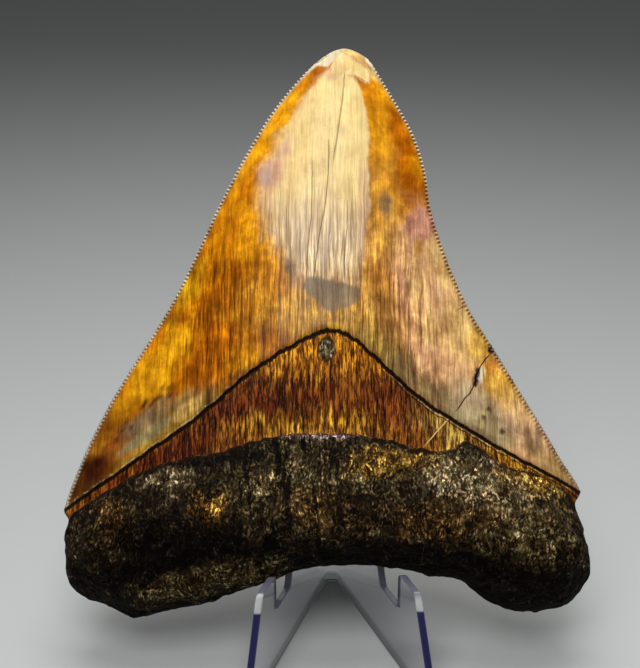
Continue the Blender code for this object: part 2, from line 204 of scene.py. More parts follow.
# Dark red specks over the enamel's two lower corners: (u, height).
SPECKS = (
    (-37.3, 50.4), (-35.6, 50.4), (-37.6, 48.8), (-35.5, 49.0), (-40.8, 47.6), (-38.9, 47.7),
    (-41.6, 46.4), (-39.8, 46.8), (-45.1, 43.1), (-44.1, 41.9), (-51.6, 33.5), (-47.5, 39.0),
    (34.2, 46.0), (33.1, 44.2), (37.2, 41.0),
)
SMUDGE_OUTLINE = (
    (-6.0, 74.8), (-3.0, 74.6), (0.0, 73.8), (3.0, 73.1), (6.0, 72.0), (6.0, 69.7), (3.5, 68.0),
    (1.0, 67.2), (-2.0, 67.6), (-3.0, 69.2), (-5.0, 70.6), (-6.2, 72.2),
)
SMUDGE_CALM = 0.55  # how much of the enamel's streaks it hides
# Left rim of the pale middle of the crown, and its straight right rim: (height, u). The pale middle is
# partly paler enamel and partly painted highlight, a soft light's reflection.
PALE_LEFT = (
    (66, -3.5), (74, -7.0), (80.6, -11.0), (85, -13.5), (92, -14.5), (96.2, -13.0), (103, -11.3),
    (107.4, -9.6), (110.6, -8.2), (113.9, -6.2), (117.8, -4.0), (119.7, -2.4), (121, 0.0), (124, 3.0),
)
PALE_RIGHT = (
    (66, 5.0), (72, 5.9), (80.6, 6.9), (91.6, 7.8), (102.7, 7.7), (110.4, 7.3), (114.7, 6.5),
    (117.9, 5.6), (119.3, 4.9), (124, 5.0),
)

# --- Colours, as red, green and blue pairs of hex digits ----------------------------------------
CREAM = "F4D38E"
IVORY = "F7DA94"
PALE_TAN = "E4C79E"
RIM_WHITE = "E6D8B4"
LEFT_OLIVE = "7A673F"
LEFT_ROSE = "85592C"
ROSE = "D8A68A"
HONEY = "C88C34"
AMBER = "EDA012"
ORANGE = "C67205"
DEEP_ORANGE = "B45A03"
BROWN = "D69A48"
MAUVE = "CF8F76"
PINK_TAN = "E3AC7A"
STRAW = "F0C478"
GOLD = "C8922A"
GOLD_BROWN = "9C5204"
YELLOW = "DAA012"
OCHRE = "905A0A"
UMBER = "B8843E"
OLIVE = "7E6430"
GREY_OLIVE = "7C6240"
SAGE = "9E9068"
MAROON = "340F06"
DARK_OLIVE = "55300C"
BARE_TAN = "946E34"
PEBBLE_GREY = "A89C74"
SMUDGE = "806E5A"
WEDGE_GREY = "725E46"
WEDGE_SAGE = "8C7E56"
WEDGE_GOLD = "A5802E"
WEDGE_TAN = "CDA45A"
BARE_GOLD = "B87218"
BARE_BROWN = "6B3A10"
BARE_MAROON = "561F09"
BARE_STRAW = "A87420"
ROOT_BROWN = "2A2010"
ROOT_BLACK = "060302"
ROOT_GREY = "504327"
ROOT_SAND = "7E6D4A"
ROOT_GOLD = "94702C"
ROOT_RUST = "523814"
LILAC = "746259"
PALE_LILAC = "B89C94"
BEAD = "FFF4D4"
CRACK_GREY = "4E4A40"
GROOVE_BLACK = "1C1006"

# --- Painting -----------------------------------------------------------------------------------
SHADE_EXPONENTS = (1.0, 1.25, 1.5)  # how strongly red, green and blue follow a shade
RAGS = ((8.0, 31.0), (3.5, 32.0), (1.6, 33.0))  # (size, seed) of the noise in the patches' rims
# Noise laid over the painted colours: (size, seed, weight).
DRIPS = ((0.9, 47.0, 1.0), (0.5, 48.0, 0.6))
MOTTLES = ((5.0, 41.0, 1.0), (2.4, 42.0, 0.7))
STREAKS = ((1.3, 43.0, 1.0), (0.7, 44.0, 0.5))
ROOT_MOTTLES = ((2.4, 45.0, 1.0), (1.1, 46.0, 1.0))
SPECK_LOOK = ((0.5, 0.6), 0.85, 0, 0.4, 0.3)  # a patch's last columns, from its reach on
# Patches, in the order in which they are laid on: (colour, middle, (half width, half height),
# amount, then where they differ from the usual: tilt in degrees, softness, raggedness).
CROWN_PATCHES = (
    # Left flank, from the pale middle outwards and down.
    (HONEY, (-8, 100), (15, 24), 0.9, 0, 0.6),
    (AMBER, (-18, 95), (9, 24), 0.95, -22),
    (ORANGE, (-26, 82), (6, 12), 0.8, -22, 0.5, 0.6),
    (DEEP_ORANGE, (-18.2, 95.5), (1.6, 4), 0.7, -22, 0.5, 0.6),
    (GOLD_BROWN, (-23, 66), (11, 12), 0.95, -20, 0.5, 0.6),
    (YELLOW, (-30, 73), (3.0, 8), 0.7, -30, 0.5, 0.7),
    (DEEP_ORANGE, (-31, 68), (1.6, 5), 0.5, -35, 0.5, 0.8),
    (GOLD_BROWN, (-26, 58), (9, 8), 0.8, 0, 0.5, 0.7),
    (YELLOW, (-40, 53), (4, 12), 0.65, -38, 0.5, 0.6),
    (AMBER, (-37, 57), (3, 10), 0.35, -38, 0.5, 0.7),
    (OCHRE, (-48.5, 40), (5, 9), 0.95, -35),
    (DARK_OLIVE, (-47.8, 39), (3.5, 4), 0.45, -30, 0.5, 0.6),
    (GOLD, (-52, 36), (1.8, 5), 0.7, -30, 0.5, 0.6),
    (GOLD, (-12, 63), (12, 8), 0.8, 0, 0.7),
    (GOLD_BROWN, (-16, 62), (10, 7), 0.75, 25, 0.5, 0.7),
    (HONEY, (-9, 67), (8, 8), 0.7, 0, 0.5, 0.7),
    (GOLD_BROWN, (-25.6, 59.5), (4, 4.5), 0.8, -20, 0.5, 0.6),
    (GOLD_BROWN, (-11.8, 60.5), (4, 3.5), 0.85, 25, 0.5, 0.5),
    (AMBER, (-18.5, 57.5), (4, 2.6), 0.6, 25, 0.5, 0.5),
    (HONEY, (-4.2, 62.5), (3.4, 3), 0.8, 0, 0.5, 0.4),
    # Middle, under the pale part.
    (GOLD, (3, 66), (12, 7), 0.9, 0, 0.7),
    # Right flank, from the tip down.
    (AMBER, (11, 112), (5, 9), 0.9),
    (AMBER, (17, 100), (5, 12), 0.8),
    (DEEP_ORANGE, (14.0, 106), (3.5, 7), 0.9, 20, 0.5, 0.7),
    (DEEP_ORANGE, (17, 95), (3, 6), 0.9, 15, 0.5, 0.7),
    (DEEP_ORANGE, (12.5, 99), (2.2, 8), 0.6, 5, 0.5, 0.7),
    (BROWN, (10.5, 86), (3.6, 18), 0.85, 0, 0.6),
    (UMBER, (8.5, 88), (1.2, 10), 0.4, 0, 0.5),
    (AMBER, (11.5, 95), (2.6, 12), 0.5, 0, 0.7),
    (BROWN, (10, 68), (7, 13), 0.85, 0, 0.7),
    (GOLD, (14, 78), (3, 12), 0.5, 0, 0.6),
    (PINK_TAN, (22, 75), (7, 13), 0.9, 15, 0.6),
    (STRAW, (25, 78), (3, 7), 0.7, 25),
    (MAUVE, (17, 67), (5, 11), 0.6, 8, 0.7),
    (PINK_TAN, (23, 62), (6, 8), 0.6, 20, 0.7),
    (UMBER, (10.6, 69), (2.6, 7), 0.7, 0, 0.6),
    (STRAW, (18.5, 73), (2.2, 6), 0.6, 0, 0.6),
    (STRAW, (26.5, 60.5), (3, 5), 0.5, 20, 0.6),
    (PINK_TAN, (27.5, 53), (2.5, 4), 0.6, 30),
    (MAUVE, (19.5, 86.5), (3.4, 3.4), 0.95, 0, 0.3, 0.5),
    (YELLOW, (19.0, 81.5), (1.0, 2.2), 0.5, -15),
    (STRAW, (30, 63), (4, 8), 0.9, 35),
    (YELLOW, (32.5, 61), (2.5, 3.5), 0.6),
    (STRAW, (21.5, 64), (2.0, 4.5), 0.6),
    (GOLD_BROWN, (10.4, 73), (2.4, 6), 0.5),
    # Last touches on both flanks.
    (GOLD_BROWN, (-24.3, 62), (3.5, 4.5), 0.8, -20, 0.5, 0.5),
    (DEEP_ORANGE, (-26.8, 75.5), (1.8, 6), 0.6, -12, 0.5, 0.8),
    (AMBER, (-11.0, 109), (3.0, 11), 0.9, -22, 0.6, 0.5),
    (AMBER, (10.2, 108), (2.2, 7), 0.8, 0, 0.6),
)
PALE_PATCHES = (
    (ROSE, (-10.6, 103), (1.5, 3.2), 0.7, -30),
    (ROSE, (-13.6, 97.5), (2.6, 4.0), 0.8, -20),
    (PALE_LILAC, (-14.6, 97.2), (1.5, 2.6), 0.6, -15),
    (ROSE, (-14.8, 91), (1.8, 3.0), 0.4),
)
FRONT_PATCHES = (
    # Small smudges.
    (SMUDGE, (-9.1, 76.7), (1.0, 1.5), 0.7),
    (SMUDGE, (-15.3, 83.4), (0.8, 1.0), 0.6),
    (SMUDGE, (11.7, 90.7), (1.5, 2.4), 0.7),
    # Wedge in the lower right corner.
    (UMBER, (10, 62), (7, 8), 0.7, 0, 0.7),
    (OLIVE, (11, 58.5), (10, 3.5), 0.7, -38, 0.6),
    (GREY_OLIVE, (21, 49.8), (11, 3.0), 0.85, -38, 0.4),
    (SAGE, (33, 44), (9, 5.5), 0.85, -42, 0.5),
    (ROSE, (43, 42), (7, 3.5), 0.6, -48, 0.6),
    (PALE_TAN, (30, 48), (3.5, 3), 0.6, -40),
    (GREY_OLIVE, (21.8, 50.2), (5, 2.4), 0.6, -40),
    (GREY_OLIVE, (43.8, 38.8), (4, 2.6), 0.7, -45),
    (YELLOW, (36.5, 52), (3.5, 6), 0.75, 40, 0.5),
    (DEEP_ORANGE, (35.4, 55.4), (2.2, 1.6), 0.6, -40),
    (STRAW, (41, 46), (2.5, 5), 0.5, 40),
    (OLIVE, (49, 32), (8, 3.4), 0.7, -45, 0.5),
    # Wedge in the lower left corner.
    (WEDGE_GREY, (-41.5, 43.0), (7, 2.6), 0.9, 36, 0.4, 0.4),
    (LEFT_OLIVE, (-33, 46.2), (8, 2.6), 0.8, 34, 0.5, 0.5),
    (WEDGE_GOLD, (-36, 40.5), (16, 1.8), 0.9, 36, 0.4, 0.3),
    (WEDGE_SAGE, (-41.0, 40.0), (8.0, 1.3), 0.95, 34, 0.25, 0.25),
    (WEDGE_TAN, (-31.0, 46.2), (5.5, 1.5), 0.8, 34, 0.4, 0.4),
    (DARK_OLIVE, (-22, 51.5), (8, 2.0), 0.6, 35, 0.5, 0.6),
    (LEFT_ROSE, (-49, 36.5), (3.5, 1.8), 0.8, 44, 0.5, 0.5),
    (MAROON, (-47.6, 39.6), (4.5, 0.45), 0.6, 46, 0.5, 0.5),
    (GOLD_BROWN, (-50, 37), (3.5, 6), 0.6, -30, 0.6),
    (MAROON, (-55.0, 29.5), (4.2, 6.0), 0.95, -28, 0.4, 0.5),
    (MAROON, (-51.4, 30.0), (4.5, 1.1), 0.7, 40, 0.5, 0.4),
    (MAROON, (-51.8, 32.6), (1.5, 3.6), 0.8, -35, 0.5, 0.5),
    (DARK_OLIVE, (-54, 26.4), (5, 2.6), 0.85, 38),
)
TIP_PATCHES = (
    (HONEY, (5.5, 124), (3, 1.5), 0.9, -30),
    (ORANGE, (-4.8, 118.8), (4.4, 1.5), 0.75, 38, 0.6),
    (DEEP_ORANGE, (-2.6, 120.9), (1.8, 0.8), 0.5, 20),
)
FLAKE_PATCHES = (
    (ORANGE, (8.6, 115.5), (2.0, 3.0), 0.6, 0, 0.5, 0.6),
    (ROSE, (-0.6, 119.8), (1.6, 1.4), 0.6),
)
BARE_PATCHES = (
    (BARE_GOLD, (0, 57), (13, 5), 0.9, 0, 0.6, 0.6),
    (BARE_MAROON, (-18, 47), (12, 4), 0.9, 0, 0.5, 0.7),
    (BARE_MAROON, (2, 50), (10, 4), 0.7, 0, 0.5, 0.8),
    (BARE_MAROON, (-35, 36), (12, 3), 0.8, 30),
    (BARE_STRAW, (-2, 43.2), (17, 1.8), 0.8, 0, 0.7),
    (BARE_BROWN, (14, 46), (12, 5), 0.5),
    (BARE_MAROON, (12, 47.5), (5, 4.5), 0.7, -30, 0.5, 0.7),
    (BARE_MAROON, (14.5, 44.5), (4, 3.0), 0.6, -30, 0.5, 0.7),
    (BARE_TAN, (27, 40), (9.5, 3.2), 0.95, -28),
    (BARE_MAROON, (-45, 30.5), (10, 2.6), 0.95, 33, 0.5, 0.6),
    (BARE_STRAW, (38, 35), (10, 2.5), 0.6, -35),
)
ROOT_PATCHES = (
    (ROOT_GREY, (-5, 31), (18, 8), 0.8, 0, 0.6, 0.6),
    (ROOT_SAND, (30, 31), (11, 6), 0.9, 0, 0.6, 0.6),
    (ROOT_SAND, (39, 27), (4, 5), 0.9, 0, 0.6, 0.6),
    (ROOT_GOLD, (45, 31), (8, 4), 0.9, -30, 0.5, 0.6),
    (ROOT_GOLD, (13, 35), (8, 3.0), 0.8, 0, 0.5, 0.8),
    (ROOT_BLACK, (1, 36), (5, 2.6), 0.7, 0, 0.5, 0.6),
    (ROOT_BLACK, (3, 26), (7, 3.0), 0.6, 0, 0.5, 0.7),
    (ROOT_BLACK, (-14, 36.5), (4, 2.4), 0.7, 0, 0.5, 0.6),
    (ROOT_BLACK, (20, 28), (5, 2.5), 0.6, -20, 0.5, 0.7),
    (ROOT_RUST, (-27, 25), (4, 4), 0.9, 0, 0.5, 0.8),
    (ROOT_GOLD, (-25, 25.5), (1.5, 1.8), 0.9, 0, 0.5, 0.6),
    (ROOT_SAND, (-35, 31.5), (7, 1.6), 0.5, 12, 0.5, 0.6),
    (ROOT_RUST, (-48, 22.5), (4, 4), 0.6, 0, 0.5, 0.7),
    (ROOT_BLACK, (-24, 35.5), (9, 1.6), 0.8, 10, 0.5, 0.5),
    (ROOT_GREY, (42, 22), (11, 7), 0.7, 0, 0.5, 0.6),
    (ROOT_RUST, (0, 26), (14, 4), 0.5, 0, 0.5, 0.8),
    (ROOT_RUST, (24, 24), (10, 4), 0.5, 0, 0.5, 0.8),
    # Painted shade: the hollow under the ridge on the root's left side.
    (ROOT_BLACK, (-32, 17.5), (17, 6.5), 0.9, 0, 0.6, 0.6),
)
# Over the root's dark base, which is painted shade.
ROOT_LAST_PATCHES = (
    (ROOT_GREY, (-28, 8), (16, 4), 0.75, 12, 0.5, 0.6),
    (ROOT_BLACK, (6, 26), (6, 3.5), 0.6, 0, 0.5, 0.7),
    # Painted highlight: the light caught by the top of the root's ledge, across its middle.
    (LILAC, (-1, 40.8), (9.5, 0.9), 0.8, 0, 0.4, 0.3),
)

# --- The tooth's mesh ---------------------------------------------------------------------------
FRONT_COLUMNS = 216
COLUMN_EVENNESS = 0.55
FRONT_ROWS = {"root": 84, "ledge": 6, "bourlette": 36, "groove": 10, "crown": 170}
EDGE_FINENESS = (8, 8, 8, 4, 4, 2, 2)  # crown rows of the columns nearest an edge, times the rest's
CROWN_ROW_EASE = 1.15
GROOVE_RIM = 1.1  # fine rows run this far on both sides of the groove
THIN_BAND = 0.3  # the least height of the bare band's rows
BUMP_HEIGHT = 0.45 * MM  # the finest relief, which only the surface has

# --- Acrylic ------------------------------------------------------------------------------------
ACRYLIC_IOR = 1.49
ACRYLIC_TINT = (0.55, 0.50, 0.85, 1)
ACRYLIC_DENSITY = 22.0  # per metre
FACE_TINT = (0.90, 0.90, 0.93, 1)
FOOT_TINT = (0.42, 0.47, 0.46, 1)  # the sheet's foot, where the cut underside shows through
FOOT_TOP = 2.2 * MM
EDGE_NAVY = (0.035, 0.035, 0.14, 1)
EDGE_WHITE = (0.85, 0.86, 0.86, 1)
EDGE_LILAC = (0.32, 0.32, 0.42, 1)
EDGE_FOOT = (0.13, 0.15, 0.15, 1)
EDGE_FOOT_TOP = 0.4 * MM  # the edges that stand on the floor look grey
# Above this height the upright edges are pale, a painted highlight.
EDGE_NAVY_TOP = 19 * MM  # the upright ones look navy below this height, and pale above it
EDGE_HOOK = -24.4 * MM  # behind this depth they are the hooks' own, and look lilac
UPRIGHT = 0.3  # a face whose normal climbs less than this stands upright
SIDEWAYS = 0.85  # and is a broad side when its normal runs across by more than this
SPINE_BACK = 0.0195  # or when it lies behind this depth

# --- Camera, floor and light --------------------------------------------------------------------
CAMERA_PLACE = Vector((-1.476, -357.74, 212.53)) * MM
CAMERA_PITCH = math.radians(21.3)
FOCAL_PIXELS = 1780
PHOTO_LONG_SIDE = 668
SENSOR = 36
FLOOR_GAP = 0.1 * MM  # keeps the floor off the stand's underside
FLOOR_HALF = 3.0  # metres
FLOOR_GREY = (0.55, 0.57, 0.56, 1)
FLOOR_ROUGHNESS = 0.6
WORLD_GREY = (0.5, 0.5, 0.5, 1)
WORLD_STRENGTH = 0.12
LIGHT_SPREAD = math.radians(90)
# (name, place, target, (width, height), watts), in metres.
LIGHTS = (
    ("key", (-0.06, -0.46, 0.62), (0, 0, 0.05), (0.45, 0.35), 0.95),
    ("top", (0.0, 0.02, 0.62), (0, -0.02, 0.0), (0.45, 0.35), 0.6),
    ("back", (0.04, 0.60, 0.40), (0, 0.0, 0.0), (0.60, 0.40), 0.10),
)


def curve_through(points, x):
    """Heights at x of a smooth curve through (x, y) points in rising x."""
    xs, ys = np.array(points).T
    slopes = np.empty(len(xs))
    slopes[1:-1] = (ys[2:] - ys[:-2]) / (xs[2:] - xs[:-2])
    slopes[0] = (ys[1] - ys[0]) / (xs[1] - xs[0])
    slopes[-1] = (ys[-1] - ys[-2]) / (xs[-1] - xs[-2])
    i = np.clip(np.searchsorted(xs, x) - 1, 0, len(xs) - 2)
    span = xs[i + 1] - xs[i]
    t = np.clip((x - xs[i]) / span, 0, 1)
    curve = t * t * (3 - 2 * t)
    start = slopes[i] * span * t * (1 - t) ** 2
    end = slopes[i + 1] * span * t * t * (1 - t)
    return ys[i] + (ys[i + 1] - ys[i]) * curve + start - end


def smooth_step(x):
    """0 below 0, 1 above 1 and a smooth rise between."""
    x = np.clip(x, 0, 1)
    return x * x * (3 - 2 * x)


def rise(x, start, reach):
    """0 up to start, and 1 from start + reach."""
    return smooth_step((x - start) / reach)


def fall(x, end, reach):
    """1 up to end - reach, and 0 from end."""
    return smooth_step((end - x) / reach)


def rounding(distance, reach):
    """Quarter ellipse: 0 at the edge, 1 from reach inwards."""
    x = np.clip(distance / reach, 0, 1)
    return np.sqrt(1 - (1 - x) ** 2)


def mix(a, b, t):
    return a + (b - a) * t


def bumps(u, height, size, seed=0.0, stretch=1.0):
    """Smooth noise from about -1 to 1 over the tooth; stretch above 1 draws it out along the height."""
    places = np.stack([np.ravel(u) / size, np.ravel(height) / (size * stretch)], axis=1)
    flat = [noise.noise((x, y, seed)) for x, y in places.tolist()]
    return np.reshape(flat, np.shape(u))


def layered(u, height, layers, stretch=1.0):
    """Noise of several sizes laid over one another, from (size, seed, weight) rows."""
    return sum(weight * bumps(u, height, size, seed, stretch) for size, seed, weight in layers)


def left_edge(height):
    return TOOTH_WIDTH * curve_through(LEFT_EDGE, height / TOOTH_HEIGHT)


def right_edge(height):
    return TOOTH_WIDTH * curve_through(RIGHT_EDGE, height / TOOTH_HEIGHT)


def across(share, height):
    return mix(left_edge(height), right_edge(height), share)


def to_side(share):
    """How far in from the nearer side, where the tooth is at its widest."""
    return np.minimum(share, 1 - share) * TOOTH_WIDTH


def line_wobble(share, seed):
    """A worn line's small wandering, none at its two ends."""
    u = share * TOOTH_WIDTH
    wander = bumps(u, 0 * u, LINE_WOBBLE_SIZE, seed)
    wander = wander + 0.5 * bumps(u, 0 * u, LINE_WOBBLE_SIZE / 2, seed)
    return LINE_WOBBLE * wander * smooth_step(to_side(share) / ROOT_SIDE_ROUND)


def base_height(share):
    height = TOOTH_HEIGHT * curve_through(ROOT_BASE, share)
    from_left = share * TOOTH_WIDTH
    from_right = (1 - share) * TOOTH_WIDTH
    height = height + LEFT_LOBE_ROUND * (1 - rounding(from_left, LEFT_LOBE_ROUND))
    return height + RIGHT_LOBE_ROUND * (1 - rounding(from_right, RIGHT_LOBE_ROUND))


def root_top_height(share):
    return TOOTH_HEIGHT * curve_through(ROOT_TOP, share) + line_wobble(share, ROOT_TOP_SEED)


def groove_height(share):
    return TOOTH_HEIGHT * curve_through(GROOVE, share) + line_wobble(share, GROOVE_SEED)


def tip_height(share):
    dome = 1 - np.abs(2 * share - 1) ** TIP_DOME
    return TOOTH_HEIGHT * mix(TIP_START, 1.0, dome)


def base_setback(share):
    return BASE_SETBACK * smooth_step(to_side(share) / ROOT_SIDE_ROUND)


def root_lumps(share, height):
    u = across(share, height)
    small = bumps(u, height, ROOT_LUMP_SIZE * SMALL_LUMP_SIZE)
    return ROOT_LUMP * (bumps(u, height, ROOT_LUMP_SIZE) + SMALL_LUMP * small)


def pores(u, height, spacing, seed):
    """1 in the middle of scattered pores, 0 between them."""
    places = np.stack([np.ravel(u) / spacing, np.ravel(height) / spacing], axis=1)
    near = [noise.voronoi((x, y, seed))[0][0] for x, y in places.tolist()]
    return np.reshape(smooth_step(1 - np.array(near) / PORE_RADIUS), np.shape(u))


def root_roughness(u, height, seed):
    """Knobs, grit and pores of the root's bare bone."""
    rough = ROOT_KNOB * bumps(u, height, ROOT_KNOB_SIZE, seed)
    rough += ROOT_GRIT * bumps(u, height, ROOT_GRIT_SIZE, seed)
    patches = smooth_step(0.5 + 1.6 * bumps(u, height, PORE_PATCH_SIZE, seed + 5))
    return rough - ROOT_PORE * patches * pores(u, height, ROOT_PORE_SPACING, seed)


def furrows(u, height):
    """Upright furrows between the middle of the root's front and its top line."""
    band = rise(u, -15, 5) * fall(u, 6, 6) * rise(height, 20, 5) * fall(height, 41, 2)
    lines = bumps(u, height, FURROW_SIZE, 2.2, UPRIGHT_STRETCH / 2)
    return FURROW * band * (np.abs(lines) * 2 - 0.7)


def pit_distance(u, height):
    """0 in the middle of the nutrient hole, 1 on its rim."""
    return np.hypot((u - PIT_PLACE[0]) / PIT_SIZE[0], (height - PIT_PLACE[1]) / PIT_SIZE[1])


def outline_distance(u, height, outline):
    """How far inside a closed outline each point lies; less than 0 outside."""
    best = np.full_like(u, FAR)
    inside = np.zeros(len(u), bool)
    for (x0, y0), (x1, y1) in zip(outline, (*outline[1:], outline[0])):
        run, climb = x1 - x0, y1 - y0
        t = np.clip(((u - x0) * run + (height - y0) * climb) / (run ** 2 + climb ** 2), 0, 1)
        best = np.minimum(best, np.hypot(u - x0 - t * run, height - y0 - t * climb))
        if climb != 0:
            crossing = x0 + (height - y0) * run / climb
            inside ^= ((y0 > height) != (y1 > height)) & (u < crossing)
    return np.where(inside, best, -best)


def within(u, height, outline, soft, grow):
    """1 within a closed outline; its rim is soft millimetres wide, and grow moves it outwards."""
    return smooth_step(outline_distance(u, height, outline) / soft + grow)


def crack_ratio(u, height, crack):
    """Signed distance from a crack, in its own half-widths; the line thins out towards both ends."""
    route, half_width = crack
    low, high = route[0][0], route[-1][0]
    stations = np.linspace(low, high, CRACK_STATIONS)
    slope = np.interp(height, stations, np.gradient(curve_through(route, stations), stations))
    middle = curve_through(route, height)
    middle = middle + CRACK_WANDER * bumps(0 * height, height, CRACK_WANDER_SIZE, half_width * 100)
    taper = rise(height, low, CRACK_TAPER) * fall(height, high, CRACK_TAPER)
    outside = np.maximum(low - height, 0) + np.maximum(height - high, 0)
    width = half_width * np.maximum(taper, 0.01) / (1 + 50 * outside)
    return np.clip((u - middle) / np.hypot(1, slope) / width, -FAR_RATIO, FAR_RATIO)


def breaks(u, height):
    """Depth lost to the chips and flakes of the front's enamel."""
    lost = FLAKE_DEPTH * rise(u, 1.5, 3) * within(u, height, TIP_FLAKE, 0.35, 0.3)
    wedge = outline_distance(u, height, TIP_WEDGE)
    lost += FLAKE_DEPTH * smooth_step(wedge / 0.35 + 0.3) * np.clip(0.6 + wedge, 0, 1.6)
    lost += EDGE_CHIP_DEPTH * within(u, height, EDGE_CHIP, 0.5, 0.3)
    return lost + CRACK_GAP_DEPTH * within(u, height, CRACK_GAP, 0.3, 0.3)


def detail_fade(share, height):
    """Keeps the fine relief off the outline, where front and back meet."""
    return smooth_step(to_side(share) / SIDE_FADE) * rise(height, base_height(share), BASE_FADE)


def front_detail(share, height):
    """What the front surface adds to the plain shape, outwards."""
    u = across(share, height)
    in_root = fall(height, root_top_height(share), LEDGE_SLOPE)
    in_bare = (1 - in_root) * fall(height, groove_height(share), LEDGE_SLOPE)
    ribs = bumps(u, height, BOURLETTE_RIB_SIZE, 1.1, UPRIGHT_STRETCH / 2)
    waves = bumps(u, height, ENAMEL_WAVE_SIZE, 4.4, UPRIGHT_STRETCH)
    hole = 1 - rise(pit_distance(u, height), 0.6, 0.5)
    detail = in_root * (root_roughness(u, height, 0.0) + furrows(u, height))
    detail += in_bare * BOURLETTE_RIB * ribs
    detail += (1 - in_root) * (1 - in_bare) * ENAMEL_WAVE * waves
    detail += hole * (PEBBLE * bumps(u, height, PEBBLE_SIZE, PEBBLE_SEED) - PIT_DEPTH)
    for crack in CRACKS[:-1]:
        off = crack_ratio(u, height, crack) * crack[1]
        detail -= CRACK_DEPTH * np.exp(-(off / CRACK_REACH) ** 2)
    return (detail - breaks(u, height)) * detail_fade(share, height)


def back_detail(share, height):
    u = across(share, height)
    in_root = fall(height, root_top_height(share), LEDGE_SLOPE)
    waves = bumps(u, height, ENAMEL_WAVE_SIZE, 14.4, UPRIGHT_STRETCH)
    detail = in_root * root_roughness(u, height, 20.0) + (1 - in_root) * ENAMEL_WAVE * waves
    return detail * detail_fade(share, height)


def edge_table(edge):
    """(heights, run along the edge, slope) of a cutting edge."""
    heights = np.linspace(0, TOOTH_HEIGHT, EDGE_STATIONS)
    us = edge(heights)
    slope = np.gradient(us, heights)
    run = np.concatenate([[0], np.cumsum(np.hypot(np.diff(us), np.diff(heights)))])
    return heights, run, slope


def serration(share, height):
    """(notch, inset): how deep in a notch a point lies and how far in from the nearest edge."""
    u = across(share, height)
    notch = np.zeros_like(u)
    inset = np.full_like(u, FAR)
    for edge, sign in ((left_edge, -1), (right_edge, 1)):
        heights, run, slope = edge_table(edge)
        lean = np.interp(height, heights, slope)
        flat_inset = sign * (edge(height) - u)
        station = np.interp(height, heights, run) - sign * flat_inset * lean / np.hypot(1, lean)
        here = flat_inset / np.hypot(1, lean)
        wear = 0.75 + 0.5 * bumps(station, 0 * station, SERRATION_WEAR_SIZE, 3.0 + sign)
        teeth = np.abs(np.sin(math.pi * station / SERRATION_PITCH)) ** SERRATION_EASE
        near = here < inset
        notch = np.where(near, (1 - teeth) * wear, notch)
        inset = np.where(near, here, inset)
    enamel = rise(height, groove_height(share), 2.5)
    return notch * enamel * fall(height, SERRATION_TOP, 3.0), inset


def front_depth(share, height):
    """How far the front surface stands forward of the cutting edges' plane."""
    side = np.abs(2 * share - 1)
    tip = rounding(tip_height(share) - height, TIP_ROUND)
    lens = (1 - side ** CROWN_FULLNESS) ** CROWN_EDGE_EASE
    crown = ROOT_DEPTH * curve_through(CROWN_FRONT, height / TOOTH_HEIGHT) * lens * tip
    side_round = rounding(to_side(share), ROOT_SIDE_ROUND)
    base_round = rounding(height - base_height(share), ROOT_BASE_ROUND) ** ROOT_BASE_EASE
    root = ROOT_DEPTH * curve_through(ROOT_FRONT, share) + root_lumps(share, height)
    root_top = root_top_height(share)
    groove = groove_height(share)
    shoulder = fall(height, root_top, SHOULDER)
    ledge = LEDGE_STEP * fall(height, root_top, LEDGE_SLOPE) * side_round
    bare = rise(height, root_top, LEDGE_SLOPE) * fall(height, groove, LEDGE_SLOPE)
    cut = np.exp(-((groove - height) / GROOVE_HALF_WIDTH) ** 2)
    relief = (BOURLETTE_STEP * bare + GROOVE_DEPTH * cut) * side_round
    depth = mix(crown, root * side_round, shoulder) + ledge * (1 - shoulder) - relief
    return mix(-base_setback(share), np.maximum(depth, 0.0), base_round)


def back_depth(share, height):
    """How far the back surface stands behind that plane."""
    side = np.abs(2 * share - 1)
    tip = rounding(tip_height(share) - height, TIP_ROUND)
    lens = 1 - side ** BACK_FULLNESS
    crown = BACK_DEPTH * curve_through(CROWN_BACK, height / TOOTH_HEIGHT) * lens * tip
    side_round = rounding(to_side(share), ROOT_SIDE_ROUND)
    root = (BACK_DEPTH - BACK_STEP) * side_round
    root_top = root_top_height(share)
    crown = crown - BACK_STEP * fall(height, root_top, LEDGE_SLOPE) * side_round
    base_round = rounding(height - base_height(share), ROOT_BACK_ROUND)
    return mix(base_setback(share), mix(crown, root, fall(height, root_top, SHOULDER)), base_round)


def knocked(local, share, height):
    """The corners with the root's worn places moved every way, so its outline is uneven too."""
    in_root = smooth_step((root_top_height(share) - height - 1.0) / 4.0)
    moved = local.copy()
    for k in np.flatnonzero(in_root > 0):
        place = Vector(local[k].tolist())
        for size, amount in ROOT_KNOCKS:
            moved[k] += amount * in_root[k] * np.array(noise.noise_vector(place / size))
    return moved


def column_shares(count):
    t = np.arange(count + 1) / count
    return mix((1 - np.cos(math.pi * t)) / 2, t, COLUMN_EVENNESS)


def column_heights(share, rows):
    """Heights of one column's corners for {zone: row count}; zones share the corners between them."""
    root_top = root_top_height(share)
    groove = groove_height(share)
    low_rim = max(groove - GROOVE_RIM, root_top + THIN_BAND)
    high_rim = groove + GROOVE_RIM
    stops = {
        "root": (base_height(share), root_top - LEDGE_SLOPE, lambda t: 1 - np.cos(math.pi / 2 * t)),
        "ledge": (root_top - LEDGE_SLOPE, root_top, lambda t: t),
        "bourlette": (root_top, low_rim, lambda t: t),
        "groove": (low_rim, high_rim, lambda t: t),
        "crown": (high_rim, tip_height(share), lambda t: 1 - (1 - t) ** CROWN_ROW_EASE),
    }
    heights = [np.array([stops["root"][0]])]
    for zone, (start, end, ease) in stops.items():
        t = np.arange(1, rows[zone] + 1) / rows[zone]
        heights.append(mix(start, end, ease(t)))
    return np.concatenate(heights)


